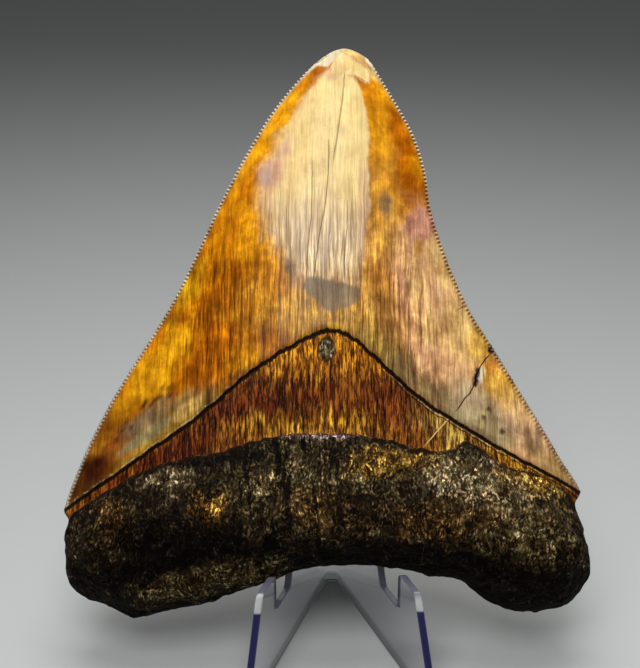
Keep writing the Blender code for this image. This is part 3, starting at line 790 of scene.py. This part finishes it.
def rows_of(rank, is_back):
    """Row counts of a column that is rank columns from the nearest edge."""
    fine = EDGE_FINENESS[rank] if rank < len(EDGE_FINENESS) else 1
    rows = dict(FRONT_ROWS)
    if is_back and rank > 0:
        fine = max(fine // 2, 1) if rank < len(EDGE_FINENESS) else 0.5
        rows = {zone: count // 2 for zone, count in rows.items()}
    rows["crown"] = int(FRONT_ROWS["crown"] * fine)
    return rows


def zone_stops(rows):
    """Corner numbers where one column's zones begin and end."""
    return np.cumsum([0, *rows.values()])


def stitch(lower, upper):
    """Faces between two chains of corners that run the same way, whatever their counts."""
    faces = []
    i = j = 0
    last_i, last_j = len(lower) - 1, len(upper) - 1
    while i < last_i or j < last_j:
        step = (i + 1) * last_j - (j + 1) * last_i
        if step == 0:
            faces.append((lower[i], upper[j], upper[j + 1], lower[i + 1]))
            i, j = i + 1, j + 1
        elif step < 0:
            faces.append((lower[i], upper[j], lower[i + 1]))
            i += 1
        else:
            faces.append((lower[i], upper[j], upper[j + 1]))
            j += 1
    return faces


def stitch_columns(left, left_rows, right, right_rows, inner):
    """Faces between two columns, zone by zone. inner leaves out the first and last rows."""
    faces = []
    left_stops, right_stops = zone_stops(left_rows), zone_stops(right_rows)
    last_zone = len(left_stops) - 2
    for zone in range(last_zone + 1):
        chains = []
        for corners, stops in ((left, left_stops), (right, right_stops)):
            start, end = stops[zone], stops[zone + 1]
            if inner and zone == 0:
                start += 1
            if inner and zone == last_zone:
                end -= 1
            chains.append(corners[start:end + 1])
        faces += stitch(*chains)
    return faces


def tooth_grid():
    """Corners (share, height, on the back) and faces of the closed tooth."""
    front_shares = column_shares(FRONT_COLUMNS)
    corners = []
    faces = []

    def add(share, heights, is_back):
        first = len(corners)
        corners.extend((share, height, is_back) for height in heights)
        return list(range(first, len(corners)))

    front = []
    for k, share in enumerate(front_shares):
        rows = rows_of(min(k, FRONT_COLUMNS - k), False)
        front.append((add(share, column_heights(share, rows), False), rows))
    for (left, left_rows), (right, right_rows) in zip(front, front[1:]):
        faces += stitch_columns(left, left_rows, right, right_rows, False)

    back_columns = FRONT_COLUMNS // 2
    back = []
    for k in range(back_columns + 1):
        rank = min(k, back_columns - k)
        if rank == 0:
            back.append(front[2 * k])
            continue
        share = front_shares[2 * k]
        rows = rows_of(rank, True)
        inner = add(share, column_heights(share, rows)[1:-1], True)
        back.append(([front[2 * k][0][0], *inner, front[2 * k][0][-1]], rows))
    for (left, left_rows), (right, right_rows) in zip(back, back[1:]):
        faces += [face[::-1] for face in stitch_columns(left, left_rows, right, right_rows, True)]
    base_line = [column[0] for column, rows in front]
    first_row = [column[1] for column, rows in back]
    faces += stitch(base_line, first_row)
    tip_line = [column[-1] for column, rows in front]
    last_row = [column[-2] for column, rows in back]
    faces += [face[::-1] for face in stitch(tip_line, last_row)]
    return np.array(corners), faces


def linear(colour):
    """Scene-linear red, green and blue of a colour in hex digits."""
    shown = np.array([int(colour[i:i + 2], 16) for i in (0, 2, 4)]) / 255
    return np.where(shown <= 0.04045, shown / 12.92, ((shown + 0.055) / 1.055) ** 2.4)


def cover(tint, colour, amount):
    """The corners' colours with a named colour laid over them, each by its own amount."""
    return mix(tint, linear(colour), amount[:, None])


class Painter:
    """Blends named colours over the tooth, one corner at a time."""

    def __init__(self, u, height, streak):
        self.u = u
        self.height = height
        self.drawn = height + streak
        self.tint = np.zeros((len(u), 3))
        self.rags = [bumps(u, height, size, seed) for size, seed in RAGS]

    def fill(self, colour, amount=1.0):
        self.tint = cover(self.tint, colour, np.clip(amount, 0, 1) * np.ones(len(self.u)))

    def fill_outline(self, colour, outline, soft, grow=0.5, amount=1.0):
        self.fill(colour, amount * within(self.u, self.height, outline, soft, grow))

    def blot(self, colour, centre, reach, amount, tilt=0, soft=0.5, ragged=0.35):
        """A patch with a ragged rim: reach is half its width and half its height, tilt in degrees."""
        turn = math.radians(tilt)
        x = self.u - centre[0]
        y = self.drawn - centre[1]
        along = (x * math.cos(turn) + y * math.sin(turn)) / reach[0]
        up = (y * math.cos(turn) - x * math.sin(turn)) / reach[1]
        far = np.hypot(along, up)
        far = far + ragged * (self.rags[0] + 0.6 * self.rags[1] + 0.4 * self.rags[2])
        self.fill(colour, amount * fall(far, 1 + soft, 2 * soft))

    def patches(self, table):
        for patch in table:
            self.blot(*patch)

    def shade(self, field, depth):
        """Darker and lighter by a field of about -1 to 1; green and blue follow red more strongly."""
        self.tint *= np.exp(depth * field[:, None] * np.array(SHADE_EXPONENTS))


def pale_middle(painter):
    """1 over the pale middle of the crown, partly paler enamel and partly painted highlight: a straight
    right rim and a soft, ragged left one.
    """
    u, height = painter.u, painter.height
    ragged = 1.8 * painter.rags[0] + 1.6 * painter.rags[1] + 1.2 * painter.rags[2]
    soft = mix(8.0, 3.0, rise(height, 100, 14))
    left = smooth_step((u - curve_through(PALE_LEFT, height) + ragged * soft / 8) / soft + 0.5)
    right = smooth_step((curve_through(PALE_RIGHT, height) - u + 0.25 * ragged) / 1.2 + 0.5)
    return left * right * rise(height + ragged, 69, 8) * fall(height, 127, 3)


def paint_crown(painter):
    """The enamel's colours, front and back: amber flanks around the pale middle, which is partly painted
    highlight.
    """
    fill = painter.fill
    rags = painter.rags
    u, height = painter.u, painter.height
    fill(ORANGE)
    fill(PINK_TAN, rise(u, 9, 5) * fall(height - 3 * rags[0], 89, 8))
    fill(BROWN, 0.6 * rise(u, 4, 4) * fall(u, 22, 8) * fall(height, 80, 12))
    painter.patches(CROWN_PATCHES)
    pale = pale_middle(painter)
    # The pale middle: paler enamel with a painted highlight laid in, in cream and ivory.
    fill(PALE_TAN, pale)
    fill(CREAM, pale * rise(height, 84, 14))
    fill(IVORY, 0.7 * pale * rise(height, 88, 10) * rise(u, -3, 4))
    fill(ROSE, 0.45 * pale * rise(u, 4.6, 2) * fall(height, 104, 8))
    fill(HONEY, 0.5 * pale * fall(height, 84, 12) * smooth_step(0.5 + rags[1]))
    painter.patches(PALE_PATCHES)


def paint_front_marks(painter):
    """The smudge, the wedges in both lower corners and the dark red specks."""
    smudge = outline_distance(painter.u, painter.height, SMUDGE_OUTLINE) + 0.5 * painter.rags[2]
    painter.fill(SMUDGE, 0.9 * smooth_step(smudge / 0.8 + 0.5))
    painter.patches(FRONT_PATCHES)
    painter.drawn = painter.height
    painter.patches((MAROON, speck, *SPECK_LOOK) for speck in SPECKS)


def paint_breaks(painter):
    """The worn tip with its flake and wedge, with a painted shadow below the flake, and the chip, gap
    and sliver of the right edge.
    """
    fill = painter.fill
    u, height = painter.u, painter.height
    painter.patches(TIP_PATCHES)
    flake = outline_distance(u, height, TIP_FLAKE)
    # Painted shadow: a dark orange band below the flake's right lobe.
    flake_shadow = rise(flake, -1.7, 1.5) * rise(u, 3.0, 1.2) * fall(height, 120.0, 0.8)
    fill(DEEP_ORANGE, 0.8 * flake_shadow)
    painter.patches(FLAKE_PATCHES)
    fill(STRAW, 0.8 * rise(height + 0.5 * u, 123.0, 1.2))
    rim = smooth_step(1.4 - np.abs(height - 125.8 + 0.5 * u) * 2)
    fill(GOLD, 0.6 * rise(u, 1, 2) * rim)
    fill(CREAM, smooth_step(flake / 0.3 + 0.5))
    fill(PALE_TAN, 0.5 * rise(u, 2, 2) * smooth_step(1 - np.abs(flake + 0.3) * 3))
    painter.fill_outline(RIM_WHITE, TIP_WEDGE, 0.3, amount=0.9)
    painter.fill_outline(MAROON, EDGE_CHIP, 0.4)
    painter.fill_outline(GROOVE_BLACK, CRACK_GAP, 0.3, 1.1)
    painter.fill_outline(RIM_WHITE, SLIVER, 0.3, 1.1)


def paint_enamel(painter, is_back):
    paint_crown(painter)
    without_marks = painter.tint.copy()
    paint_front_marks(painter)
    paint_breaks(painter)
    painter.tint = np.where(is_back[:, None] > 0, without_marks, painter.tint)


def paint_bourlette(painter):
    painter.fill(BARE_BROWN)
    painter.patches(BARE_PATCHES)
    pit = pit_distance(painter.u, painter.height)
    painter.fill(PEBBLE_GREY, 0.95 * fall(pit, 1.15, 0.3))
    painter.fill(GROOVE_BLACK, 0.85 * smooth_step(1 - np.abs(pit - 1.05) / 0.22))
    pebbles = bumps(painter.u, painter.height, PEBBLE_SIZE, PEBBLE_SEED)
    painter.shade(np.where(pit < 1, pebbles, 0), 1.6)


def paint_root(painter):
    painter.fill(ROOT_BROWN)
    painter.patches(ROOT_PATCHES)
    # Painted shade: below this ragged line the root's lower part, which faces down, goes near black.
    shade_line = 22 + 4 * painter.rags[0] - 6 * (painter.u / 50) ** 2
    painter.fill(ROOT_BLACK, 0.9 * fall(painter.height, shade_line, 7))
    painter.patches(ROOT_LAST_PATCHES)


def zone_tint(u, height, is_back, in_root, in_enamel):
    """Each corner's painted colour, before the cutting edges."""
    low_crown = fall(height, 95, 35)
    drips = layered(u, height, DRIPS, UPRIGHT_STRETCH)
    streaks_by_zone = (0 * u, 5.0 * drips, 2.2 * drips * low_crown * rise(u, -32, 12))
    root, bare, enamel = [Painter(u, height, streak) for streak in streaks_by_zone]
    paint_root(root)
    paint_bourlette(bare)
    paint_enamel(enamel, is_back)
    mottles = layered(u, height, MOTTLES)
    streaks = layered(u, height, STREAKS, UPRIGHT_STRETCH)
    root.shade(layered(u, height, ROOT_MOTTLES), 0.8)
    bare.shade(streaks + mottles, 0.5)
    enamel.shade(mottles * 0.35 + streaks * (0.15 + 0.5 * low_crown), 0.35)
    tint = np.where(in_enamel[:, None], enamel.tint, bare.tint)
    return np.where(in_root[:, None], root.tint, tint)


def tooth_tint(share, height, u, is_back, notch, inset):
    """Each corner's colour and its zones: root, bare band and enamel."""
    root_top = root_top_height(share)
    in_root = height < root_top - 0.02
    in_enamel = height > np.where(is_back > 0, root_top, groove_height(share))
    tint = zone_tint(u, height, is_back, in_root, in_enamel)
    beaded = np.where(share < 0.5, 1.0, rise(height, 88, 12))
    rim = in_enamel * (1 - rise(inset, 0.25, 0.6)) * np.clip(1 - 3.0 * notch, 0, 1)
    tint = cover(tint, BEAD, rim * mix(0.35, 1.0, beaded))
    notched = 1 - smooth_step(inset / mix(1.9, 1.1, beaded))
    tint = cover(tint, MAROON, 0.9 * in_enamel * notched * np.clip(notch * 4.6, 0, 1))
    to_rim = np.minimum(inset, tip_height(share) - height)
    worn_tip = rise(height, 119, 3) * (1 - rise(to_rim, 0.2, 0.8)) * mix(0.9, 0.35, rise(u, 1, 3))
    tint = cover(tint, RIM_WHITE, worn_tip)
    rough = in_root | ((pit_distance(u, height) < 1.0) & (is_back == 0))
    zones = np.stack([rough, ~rough & ~in_enamel, in_enamel], axis=1).astype(float)
    smudge = within(u, height, SMUDGE_OUTLINE, 1.0, 0.5)
    zones[:, 2] *= np.where(is_back > 0, 1.0, 1 - SMUDGE_CALM * smudge)
    return tint.clip(0, 1), zones


def add_attribute(mesh, name, kind, *columns):
    """Store columns of values, one value for each corner, as a point attribute."""
    attribute = mesh.attributes.new(name, kind, "POINT")
    key = {"FLOAT_VECTOR": "vector", "FLOAT_COLOR": "color"}[kind]
    values = np.column_stack(columns).astype(np.float32)
    attribute.data.foreach_set(key, values.ravel())


def add_line_attributes(mesh, share, height, u, is_back):
    """Each corner's distances from the cracks, the groove and the root's top line."""
    ratios = [np.where(is_back > 0, FAR_RATIO, crack_ratio(u, height, crack)) for crack in CRACKS]
    stations = np.linspace(0, 1, GROOVE_STATIONS)
    slope = np.interp(share, stations, np.gradient(groove_height(stations), stations))
    lean = slope / (right_edge(height) - left_edge(height))
    to_groove = np.clip((height - groove_height(share)) / np.hypot(1, lean), -FAR_LINE, FAR_LINE)
    to_groove = np.where(is_back > 0, FAR_LINE, to_groove)
    to_root = np.clip(height - root_top_height(share), -FAR_LINE, FAR_LINE)
    add_attribute(mesh, "cracks", "FLOAT_VECTOR", *ratios[0:3])
    add_attribute(mesh, "edge_cracks", "FLOAT_VECTOR", *ratios[3:6])
    add_attribute(mesh, "lines", "FLOAT_VECTOR", ratios[6], to_groove, to_root)


def shaped(share, height, u, is_back, notch, inset):
    """Each corner's depth, and its place (u, behind, height) in the tooth's own frame."""
    flute = 1 - smooth_step(inset / SERRATION_REACH)
    thinned = 1 - SERRATION_THINNING * notch * flute
    front = front_depth(share, height) * thinned + front_detail(share, height)
    back = back_depth(share, height) * thinned + back_detail(share, height)
    depth = np.where(is_back > 0, -back, front)
    on_outline = np.isclose(share, 0) | np.isclose(share, 1) | np.isclose(height, tip_height(share))
    depth = np.where(on_outline, 0, depth)
    depth = np.where(np.isclose(height, base_height(share)), -base_setback(share), depth)
    outward = np.where(share < 0.5, -1, 1)
    cut = u + outward * SERRATION_DEPTH * flute * np.where(notch > 0, 0.25 - notch, 0)
    return depth, knocked(np.stack([cut, -depth, height], axis=1), share, height)


def in_frame(local):
    """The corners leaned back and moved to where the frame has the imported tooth."""
    tooth_low, tooth_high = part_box("tooth")
    up = Vector((0, math.sin(LEAN), math.cos(LEAN)))
    widest = left_edge(np.linspace(0, 0.3, 200) * TOOTH_HEIGHT).min()
    seat = Vector((tooth_low.x - widest * MM, tooth_high.y, tooth_high.z)) - up * TOOTH_HEIGHT * MM
    turn = np.array(Matrix.Rotation(-LEAN, 3, "X"))
    return local @ turn.T * MM + np.array(seat)


def add_object(name, data):
    thing = bpy.data.objects.new(name, data)
    bpy.context.scene.collection.objects.link(thing)
    return thing


def build_tooth():
    corners, faces = tooth_grid()
    share, height, is_back = corners.T
    u = across(share, height)
    notch, inset = serration(share, height)
    depth, local = shaped(share, height, u, is_back, notch, inset)
    mesh = bpy.data.meshes.new("fossil_tooth")
    mesh.from_pydata(in_frame(local).tolist(), [], faces)
    mesh.shade_smooth()
    tint, zones = tooth_tint(share, height, u, is_back, notch, inset)
    add_attribute(mesh, "place", "FLOAT_VECTOR", u, depth, height)
    add_attribute(mesh, "zones", "FLOAT_VECTOR", zones)
    add_line_attributes(mesh, share, height, u, is_back)
    add_attribute(mesh, "tint", "FLOAT_COLOR", tint, np.ones(len(tint)))
    mesh.materials.append(fossil_surface())
    return add_object("fossil_tooth", mesh)


class Value:
    """A node's output that takes part in plain arithmetic: every operation adds a Math node."""

    def __init__(self, nodes, socket):
        self.nodes = nodes
        self.socket = socket

    def __add__(self, other):
        return self.nodes.math("ADD", self, other)

    def __sub__(self, other):
        return self.nodes.math("SUBTRACT", self, other)

    def __rsub__(self, other):
        return self.nodes.math("SUBTRACT", other, self)

    def __mul__(self, other):
        return self.nodes.math("MULTIPLY", self, other)

    def __abs__(self):
        return self.nodes.math("ABSOLUTE", self)


class Nodes:
    """Short calls for a material's node tree."""

    def __init__(self, name):
        self.material = bpy.data.materials.new(name)
        self.material.use_nodes = True
        self.tree = self.material.node_tree

    def put(self, value, socket):
        """Link a node's output, or set a plain value; a string is a colour in hex digits."""
        if isinstance(value, Value):
            self.tree.links.new(value.socket, socket)
        elif isinstance(value, str):
            socket.default_value = (*linear(value), 1)
        else:
            socket.default_value = value

    def set(self, node, inputs):
        """Link or set a node's inputs, given by name or number."""
        for key, value in inputs.items():
            self.put(value, node.inputs[key])

    def shade(self, inputs):
        self.set(self.tree.nodes["Principled BSDF"], inputs)

    def make(self, kind, inputs, output=0, **settings):
        """One output of a new node."""
        node = self.tree.nodes.new("ShaderNode" + kind)
        for key, value in settings.items():
            setattr(node, key, value)
        self.set(node, inputs)
        return Value(self, node.outputs[output])

    def attribute(self, name, output="Vector"):
        return self.make("Attribute", {}, output, attribute_name=name)

    def math(self, operation, a, b=0.0):
        return self.make("Math", {0: a, 1: b}, operation=operation)

    def vector(self, operation, a, b):
        second = "Scale" if operation == "SCALE" else 1
        return self.make("VectorMath", {0: a, second: b}, operation=operation)

    def combine(self, *parts):
        return self.make("CombineXYZ", dict(enumerate(parts)))

    def split(self, value):
        """The three parts of a vector."""
        node = self.make("SeparateXYZ", {0: value}).socket.node
        return [Value(self, socket) for socket in node.outputs]

    def noise(self, place, scale, detail=2.0, roughness=0.5, output="Fac"):
        """Noise with one scale, or with one for each of the three directions."""
        if isinstance(scale, tuple):
            place = self.vector("MULTIPLY", place, scale)
            scale = 1.0
        inputs = {"Vector": place, "Scale": scale, "Detail": detail, "Roughness": roughness}
        return self.make("TexNoise", inputs, output)

    def range(self, value, low, high, to_low=0.0, to_high=1.0, smooth=True):
        inputs = {"Value": value, "From Min": low, "From Max": high, "To Min": to_low, "To Max": to_high}
        return self.make("MapRange", inputs, interpolation_type="SMOOTHSTEP" if smooth else "LINEAR")

    def mix(self, factor, a, b):
        return self.make("MixRGB", {0: factor, 1: a, 2: b})


def fossil_fields(n):
    """The zones and the noise patterns that the fossil's colour, gloss and relief share."""
    place = n.attribute("place")
    root, bare, enamel = n.split(n.attribute("zones"))
    u, _, height = n.split(place)
    warp = n.vector("SUBTRACT", n.noise(place, (0.30, 0.3, 0.10), output="Color"), (0.5, 0.5, 0.5))
    warp = n.vector("SCALE", warp, 1.1)
    bent = n.vector("MULTIPLY", n.vector("ADD", place, warp), n.combine(1.0, 1.0, bare * 1.6 + 1.0))
    fine = n.noise(bent, (2.6, 0.3, 0.14), 4.0, 0.7)
    line = n.range(n.noise(bent, (1.9, 0.3, 0.028), 1.0), 0.38, 0.42, 1.0, 0.0)
    line = line * n.range(fine, 0.40, 0.55) * n.range(height, 84.0, 106.0, 1.0, 0.15)
    return SimpleNamespace(
        place=place, u=u, height=height, root=root, bare=bare, enamel=enamel, warp=warp, bent=bent,
        tint=n.attribute("tint", "Color"),
        broad=n.noise(bent, (0.8, 0.3, 0.055)),
        fine=fine,
        crisp=n.range(fine, 0.43, 0.57, -0.5, 0.5),
        hair=n.range(n.noise(bent, (1.2, 0.3, 0.05), 2.0, 0.6), 0.33, 0.45, 1.0, 0.0),
        comb=n.range(n.noise(bent, (2.4, 0.3, 0.035), 1.0), 0.36, 0.44, 1.0, 0.0),
        line=line,
        cloud=n.noise(n.vector("ADD", place, n.vector("SCALE", warp, 3.0)), 0.28, 4.0, 0.62),
        grain=n.noise(place, 1.5, 4.0, 0.65),
        grit=n.noise(place, 4.5, 3.0, 0.7),
        rough=n.noise(place, (0.75, 0.75, 0.6), 5.0, 0.72),
    )


def enamel_change(n, f):
    """How many times the enamel's colour is doubled; less than 0 halves it."""
    flanks = n.range(f.u, -42.0, -22.0, 0.3, 1.0) * n.range(f.u, 12.0, 26.0, 1.0, 0.4)
    lower = n.range(f.height, 62.0, 100.0, 1.0, 0.12)
    pale = n.range(n.split(f.tint)[2], 0.12, 0.32)
    streaks = (f.broad - 0.5) * 3.0 + f.crisp - f.hair * 0.8 - f.comb * 0.9
    change = streaks * (lower * flanks) + (f.fine - 0.5) * 0.5
    change = change - f.line * (pale * 0.8) + (f.cloud - 0.5) * (3.6 - pale * 3.2)
    return change + n.range(f.grain, 0.27, 0.33, -0.9, 0.0)


def bare_change(n, f):
    """The same for the bare band."""
    change = (f.broad - 0.5) * 4.0 + f.crisp * 2.6 + (f.cloud - 0.5) * 3.5
    return n.math("MINIMUM", change - f.hair * 1.4 - f.comb * 1.7, 1.2)


def root_change(n, f):
    """The same for the root: worm-like pits in clusters, furrows in its middle, and glints."""
    furrow = n.range(n.noise(f.bent, (0.75, 0.3, 0.07), 2.0, 0.6), 0.38, 0.50, -2.6, 0.5)
    furrow = furrow * n.range(abs(f.u + 9.0), 8.0, 14.0, 1.0, 0.0)
    worms = n.vector("ADD", n.vector("MULTIPLY", f.place, (2.1, 0.6, 1.3)), f.warp)
    worms = n.range(n.noise(worms, 1.0, 1.5, 0.6), 0.43, 0.64, -2.0, 2.8, smooth=False)
    clusters = n.range(n.noise(f.place, 0.42, 3.0, 0.6), 0.42, 0.58, 0.45, 1.0)
    glints = n.range(f.grain, 0.60, 0.68, 0.0, 1.4) * n.range(f.height, 14.0, 26.0)
    change = worms * clusters + (f.rough - 0.5) * 9.0 + (f.grit - 0.5) * 4.0
    return change + furrow + glints + (f.cloud - 0.52) * 8.0


def shaded_tint(n, f):
    """The painted colour, darker and lighter by its zone's change."""
    change = f.enamel * enamel_change(n, f) + f.bare * bare_change(n, f) + f.root * root_change(n, f)
    darker = n.math("MINIMUM", change, 0.0)
    lighter = n.math("MAXIMUM", change, 0.0)
    red = darker + lighter
    green = darker * 1.2 + lighter * (1.2 - f.root * 0.20)
    blue = darker * 1.4 + lighter * (f.root * 0.25 + 0.85)
    factors = [n.math("POWER", 2.0, power) for power in (red, green, blue)]
    return n.vector("MULTIPLY", f.tint, n.combine(*factors))


def line_mask(n, ratio):
    """1 along a line, from its signed distance in half-widths."""
    return n.range(abs(ratio), 0.5, 1.1, 1.0, 0.0)


def crack_layers(n):
    """[(mask, strength, colour)] of the fine cracks, the right edge's dark ones and the scratch."""
    first, second, third = n.split(n.attribute("cracks"))
    fourth, long_crack, short_crack = n.split(n.attribute("edge_cracks"))
    scratch = n.split(n.attribute("lines"))[0]
    hairs = line_mask(n, first) * 0.7
    for ratio in (second, third, fourth):
        hairs = n.math("MAXIMUM", hairs, line_mask(n, ratio))
    dark = n.math("MAXIMUM", line_mask(n, long_crack), line_mask(n, short_crack))
    return [(hairs, 0.7, CRACK_GREY), (dark, 0.9, MAROON), (line_mask(n, scratch), 0.9, STRAW)]


def groove_layers(n, f):
    """The same for the groove, black as painted shade in its crevice; painted shade on the enamel above
    it; the lines beside it, of which the lip is a painted highlight; and the painted shadow along the
    root's top.
    """
    _, to_groove, to_root = n.split(n.attribute("lines"))
    # Painted shade: the groove's crevice as a black line.
    groove = n.range(abs(to_groove) + (f.grain - 0.5) * 1.1, 0.32, 0.62, 1.0, 0.0)
    # Painted shade: the enamel darkens towards the groove.
    groove_shade = n.range(to_groove, 0.2, 2.6, 0.75, 0.0) * (f.enamel * f.broad)
    broken = n.range(n.noise(f.place, 0.9, 2.0, 0.6), 0.47, 0.62, 0.05, 1.0)
    left_limb = n.range(f.u, -27.0, -22.0, 1.0, 0.25) * n.range(f.u, -8.0, -2.0, 1.0, 0.0)
    right_limb = n.range(f.u, 10.0, 16.0)
    second = n.range(abs(to_groove + (f.broad + 0.5)), 0.08, 0.22, 0.8, 0.0) * (f.bare * right_limb)
    # Painted highlight: the lip, a pale line on the enamel's rim just above the groove's left limb.
    lip = n.range(abs(to_groove - 0.75), 0.10, 0.36, 0.5, 0.0) * (left_limb * broken)
    seam = n.range(abs(to_groove + 0.62), 0.08, 0.26, 0.6, 0.0) * (right_limb * broken)
    shadow = n.range(abs(to_root + f.grain), 0.05, 0.5, 1.0, 0.0)
    shadow = shadow * n.range(abs(f.u + 1.0), 8.0, 12.0, 0.0, 0.85)
    return [
        (groove_shade, 1.0, DARK_OLIVE), (n.math("MAXIMUM", lip, seam), 1.0, PALE_TAN),
        (second, 1.0, GROOVE_BLACK), (shadow, 1.0, GROOVE_BLACK), (groove, 0.97, GROOVE_BLACK),
    ]


def fossil_surface():
    """Polished, streaked enamel over a streaky bare band and a rough, porous root."""
    n = Nodes("fossil")
    f = fossil_fields(n)
    cracks = crack_layers(n)
    colour = shaded_tint(n, f)
    for mask, strength, line_colour in cracks + groove_layers(n, f):
        colour = n.mix(mask * strength, colour, line_colour)
    hairs, dark_cracks = cracks[0][0], cracks[1][0]
    relief = (f.broad * 0.45 + f.fine * 0.55 - 0.5) * (f.bare * 0.9 + 0.10)
    relief = relief + (f.rough - 0.5) * (f.root * 3.0) + (f.grit - 0.5) * (f.root * 0.9)
    relief = relief - n.math("MAXIMUM", hairs, dark_cracks) * 0.25
    normal = n.make("Bump", {"Strength": 1.0, "Distance": BUMP_HEIGHT, "Height": relief})
    glossy_root = f.root * n.range(f.height, 16.0, 30.0, 0.0, 0.18)
    n.shade({
        "Base Color": colour,
        "Roughness": f.root * 0.25 + 0.45 + (f.grain - 0.5) * 0.25,
        "Specular IOR Level": 0.04,
        "Coat Weight": f.bare * 0.05 + (f.enamel * 0.24 + glossy_root),
        "Coat Roughness": 0.16,
        "Normal": normal,
        "Coat Normal": normal,
    })
    return n.material


def acrylic_surface():
    """Clear cast acrylic: plain transmission, with a faint violet-blue depth."""
    n = Nodes("clear_acrylic")
    place = n.make("TexCoord", {}, "Object")
    above_foot = n.range(n.split(place)[2], FOOT_TOP, FOOT_TOP + 0.3 * MM)
    n.shade({
        "Base Color": n.mix(above_foot, FOOT_TINT, FACE_TINT),
        "Transmission Weight": 1,
        "IOR": ACRYLIC_IOR,
        "Roughness": n.range(n.noise(place, 90.0, 3.0, 0.6), 0.45, 0.75, 0.01, 0.06),
    })
    depth = n.make("VolumeAbsorption", {"Color": ACRYLIC_TINT, "Density": ACRYLIC_DENSITY})
    n.set(n.tree.nodes["Material Output"], {"Volume": depth})
    return n.material


def edge_surface():
    """The sheet's polished cut edges: hazier than its faces, with a pale painted highlight under the
    bend and navy below.
    """
    n = Nodes("acrylic_edge")
    place = n.make("TexCoord", {}, "Object")
    _, depth, height = n.split(place)
    # Painted highlight: the upright edges turn pale above EDGE_NAVY_TOP.
    colour = n.mix(n.range(height, EDGE_NAVY_TOP, EDGE_NAVY_TOP + 0.6 * MM), EDGE_NAVY, EDGE_WHITE)
    colour = n.mix(n.range(depth, EDGE_HOOK, EDGE_HOOK + MM), colour, EDGE_LILAC)
    colour = n.mix(n.range(height, EDGE_FOOT_TOP / 2, EDGE_FOOT_TOP), EDGE_FOOT, colour)
    n.shade({
        "Base Color": colour,
        "Transmission Weight": 0.5,
        "IOR": ACRYLIC_IOR,
        "Roughness": n.range(n.noise(place, 400.0, 2.0, 0.6), 0.4, 0.7, 0.06, 0.16),
    })
    return n.material


def is_broad(face):
    """Whether a face is one of the sheet's broad sides, not a cut edge."""
    upright = abs(face.normal.z) < UPRIGHT
    return upright and (abs(face.normal.x) > SIDEWAYS or face.center.y > SPINE_BACK)


def build_stand():
    """The easel in its own place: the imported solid's shape, welded, with soft cut edges."""
    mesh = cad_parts["stand"].data.copy()
    mesh.name = "acrylic_easel"
    welded = bmesh.new()
    welded.from_mesh(mesh)
    bmesh.ops.remove_doubles(welded, verts=welded.verts, dist=0.01 * MM)
    welded.to_mesh(mesh)
    welded.free()
    mesh.materials.clear()
    mesh.materials.append(acrylic_surface())
    mesh.materials.append(edge_surface())
    for face in mesh.polygons:
        face.material_index = 0 if is_broad(face) else 1
    mesh.shade_flat()
    return add_object("acrylic_easel", mesh)


def add_light(name, place, target, size, power):
    light = bpy.data.lights.new(name, "AREA")
    light.shape = "RECTANGLE"
    light.size, light.size_y = size
    light.energy = power
    light.spread = LIGHT_SPREAD
    lamp = add_object(name, light)
    lamp.location = place
    lamp.rotation_mode = "QUATERNION"
    lamp.rotation_quaternion = (Vector(target) - Vector(place)).to_track_quat("-Z", "Y")


def build_camera():
    data = bpy.data.cameras.new("camera")
    data.sensor_width = SENSOR
    data.lens = FOCAL_PIXELS / PHOTO_LONG_SIDE * SENSOR
    data.clip_start = 0.01
    camera = add_object("camera", data)
    camera.location = CAMERA_PLACE
    camera.rotation_euler = (math.pi / 2 - CAMERA_PITCH, 0, 0)
    bpy.context.scene.camera = camera


def build_floor():
    mesh = bpy.data.meshes.new("floor")
    corners = [(-FLOOR_HALF, -FLOOR_HALF), (FLOOR_HALF, -FLOOR_HALF)]
    corners += [(FLOOR_HALF, FLOOR_HALF), (-FLOOR_HALF, FLOOR_HALF)]
    mesh.from_pydata([(x, y, -FLOOR_GAP) for x, y in corners], [], [(0, 1, 2, 3)])
    n = Nodes("floor")
    n.shade({"Base Color": FLOOR_GREY, "Roughness": FLOOR_ROUGHNESS})
    mesh.materials.append(n.material)
    floor = add_object("floor", mesh)


def build_world():
    world = bpy.data.worlds.new("studio")
    world.use_nodes = True
    background = world.node_tree.nodes["Background"]
    background.inputs["Color"].default_value = WORLD_GREY
    background.inputs["Strength"].default_value = WORLD_STRENGTH
    bpy.context.scene.world = world


def main():
    noise.seed_set(KNOCK_SEED)
    bpy.context.scene.view_settings.view_transform = "Standard"
    build_camera()
    build_floor()
    build_world()
    for light in LIGHTS:
        add_light(*light)

    tooth = build_tooth()
    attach(tooth, "root")
    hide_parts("tooth")
    stand = build_stand()
    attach(stand, "root")
    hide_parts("stand")


main()
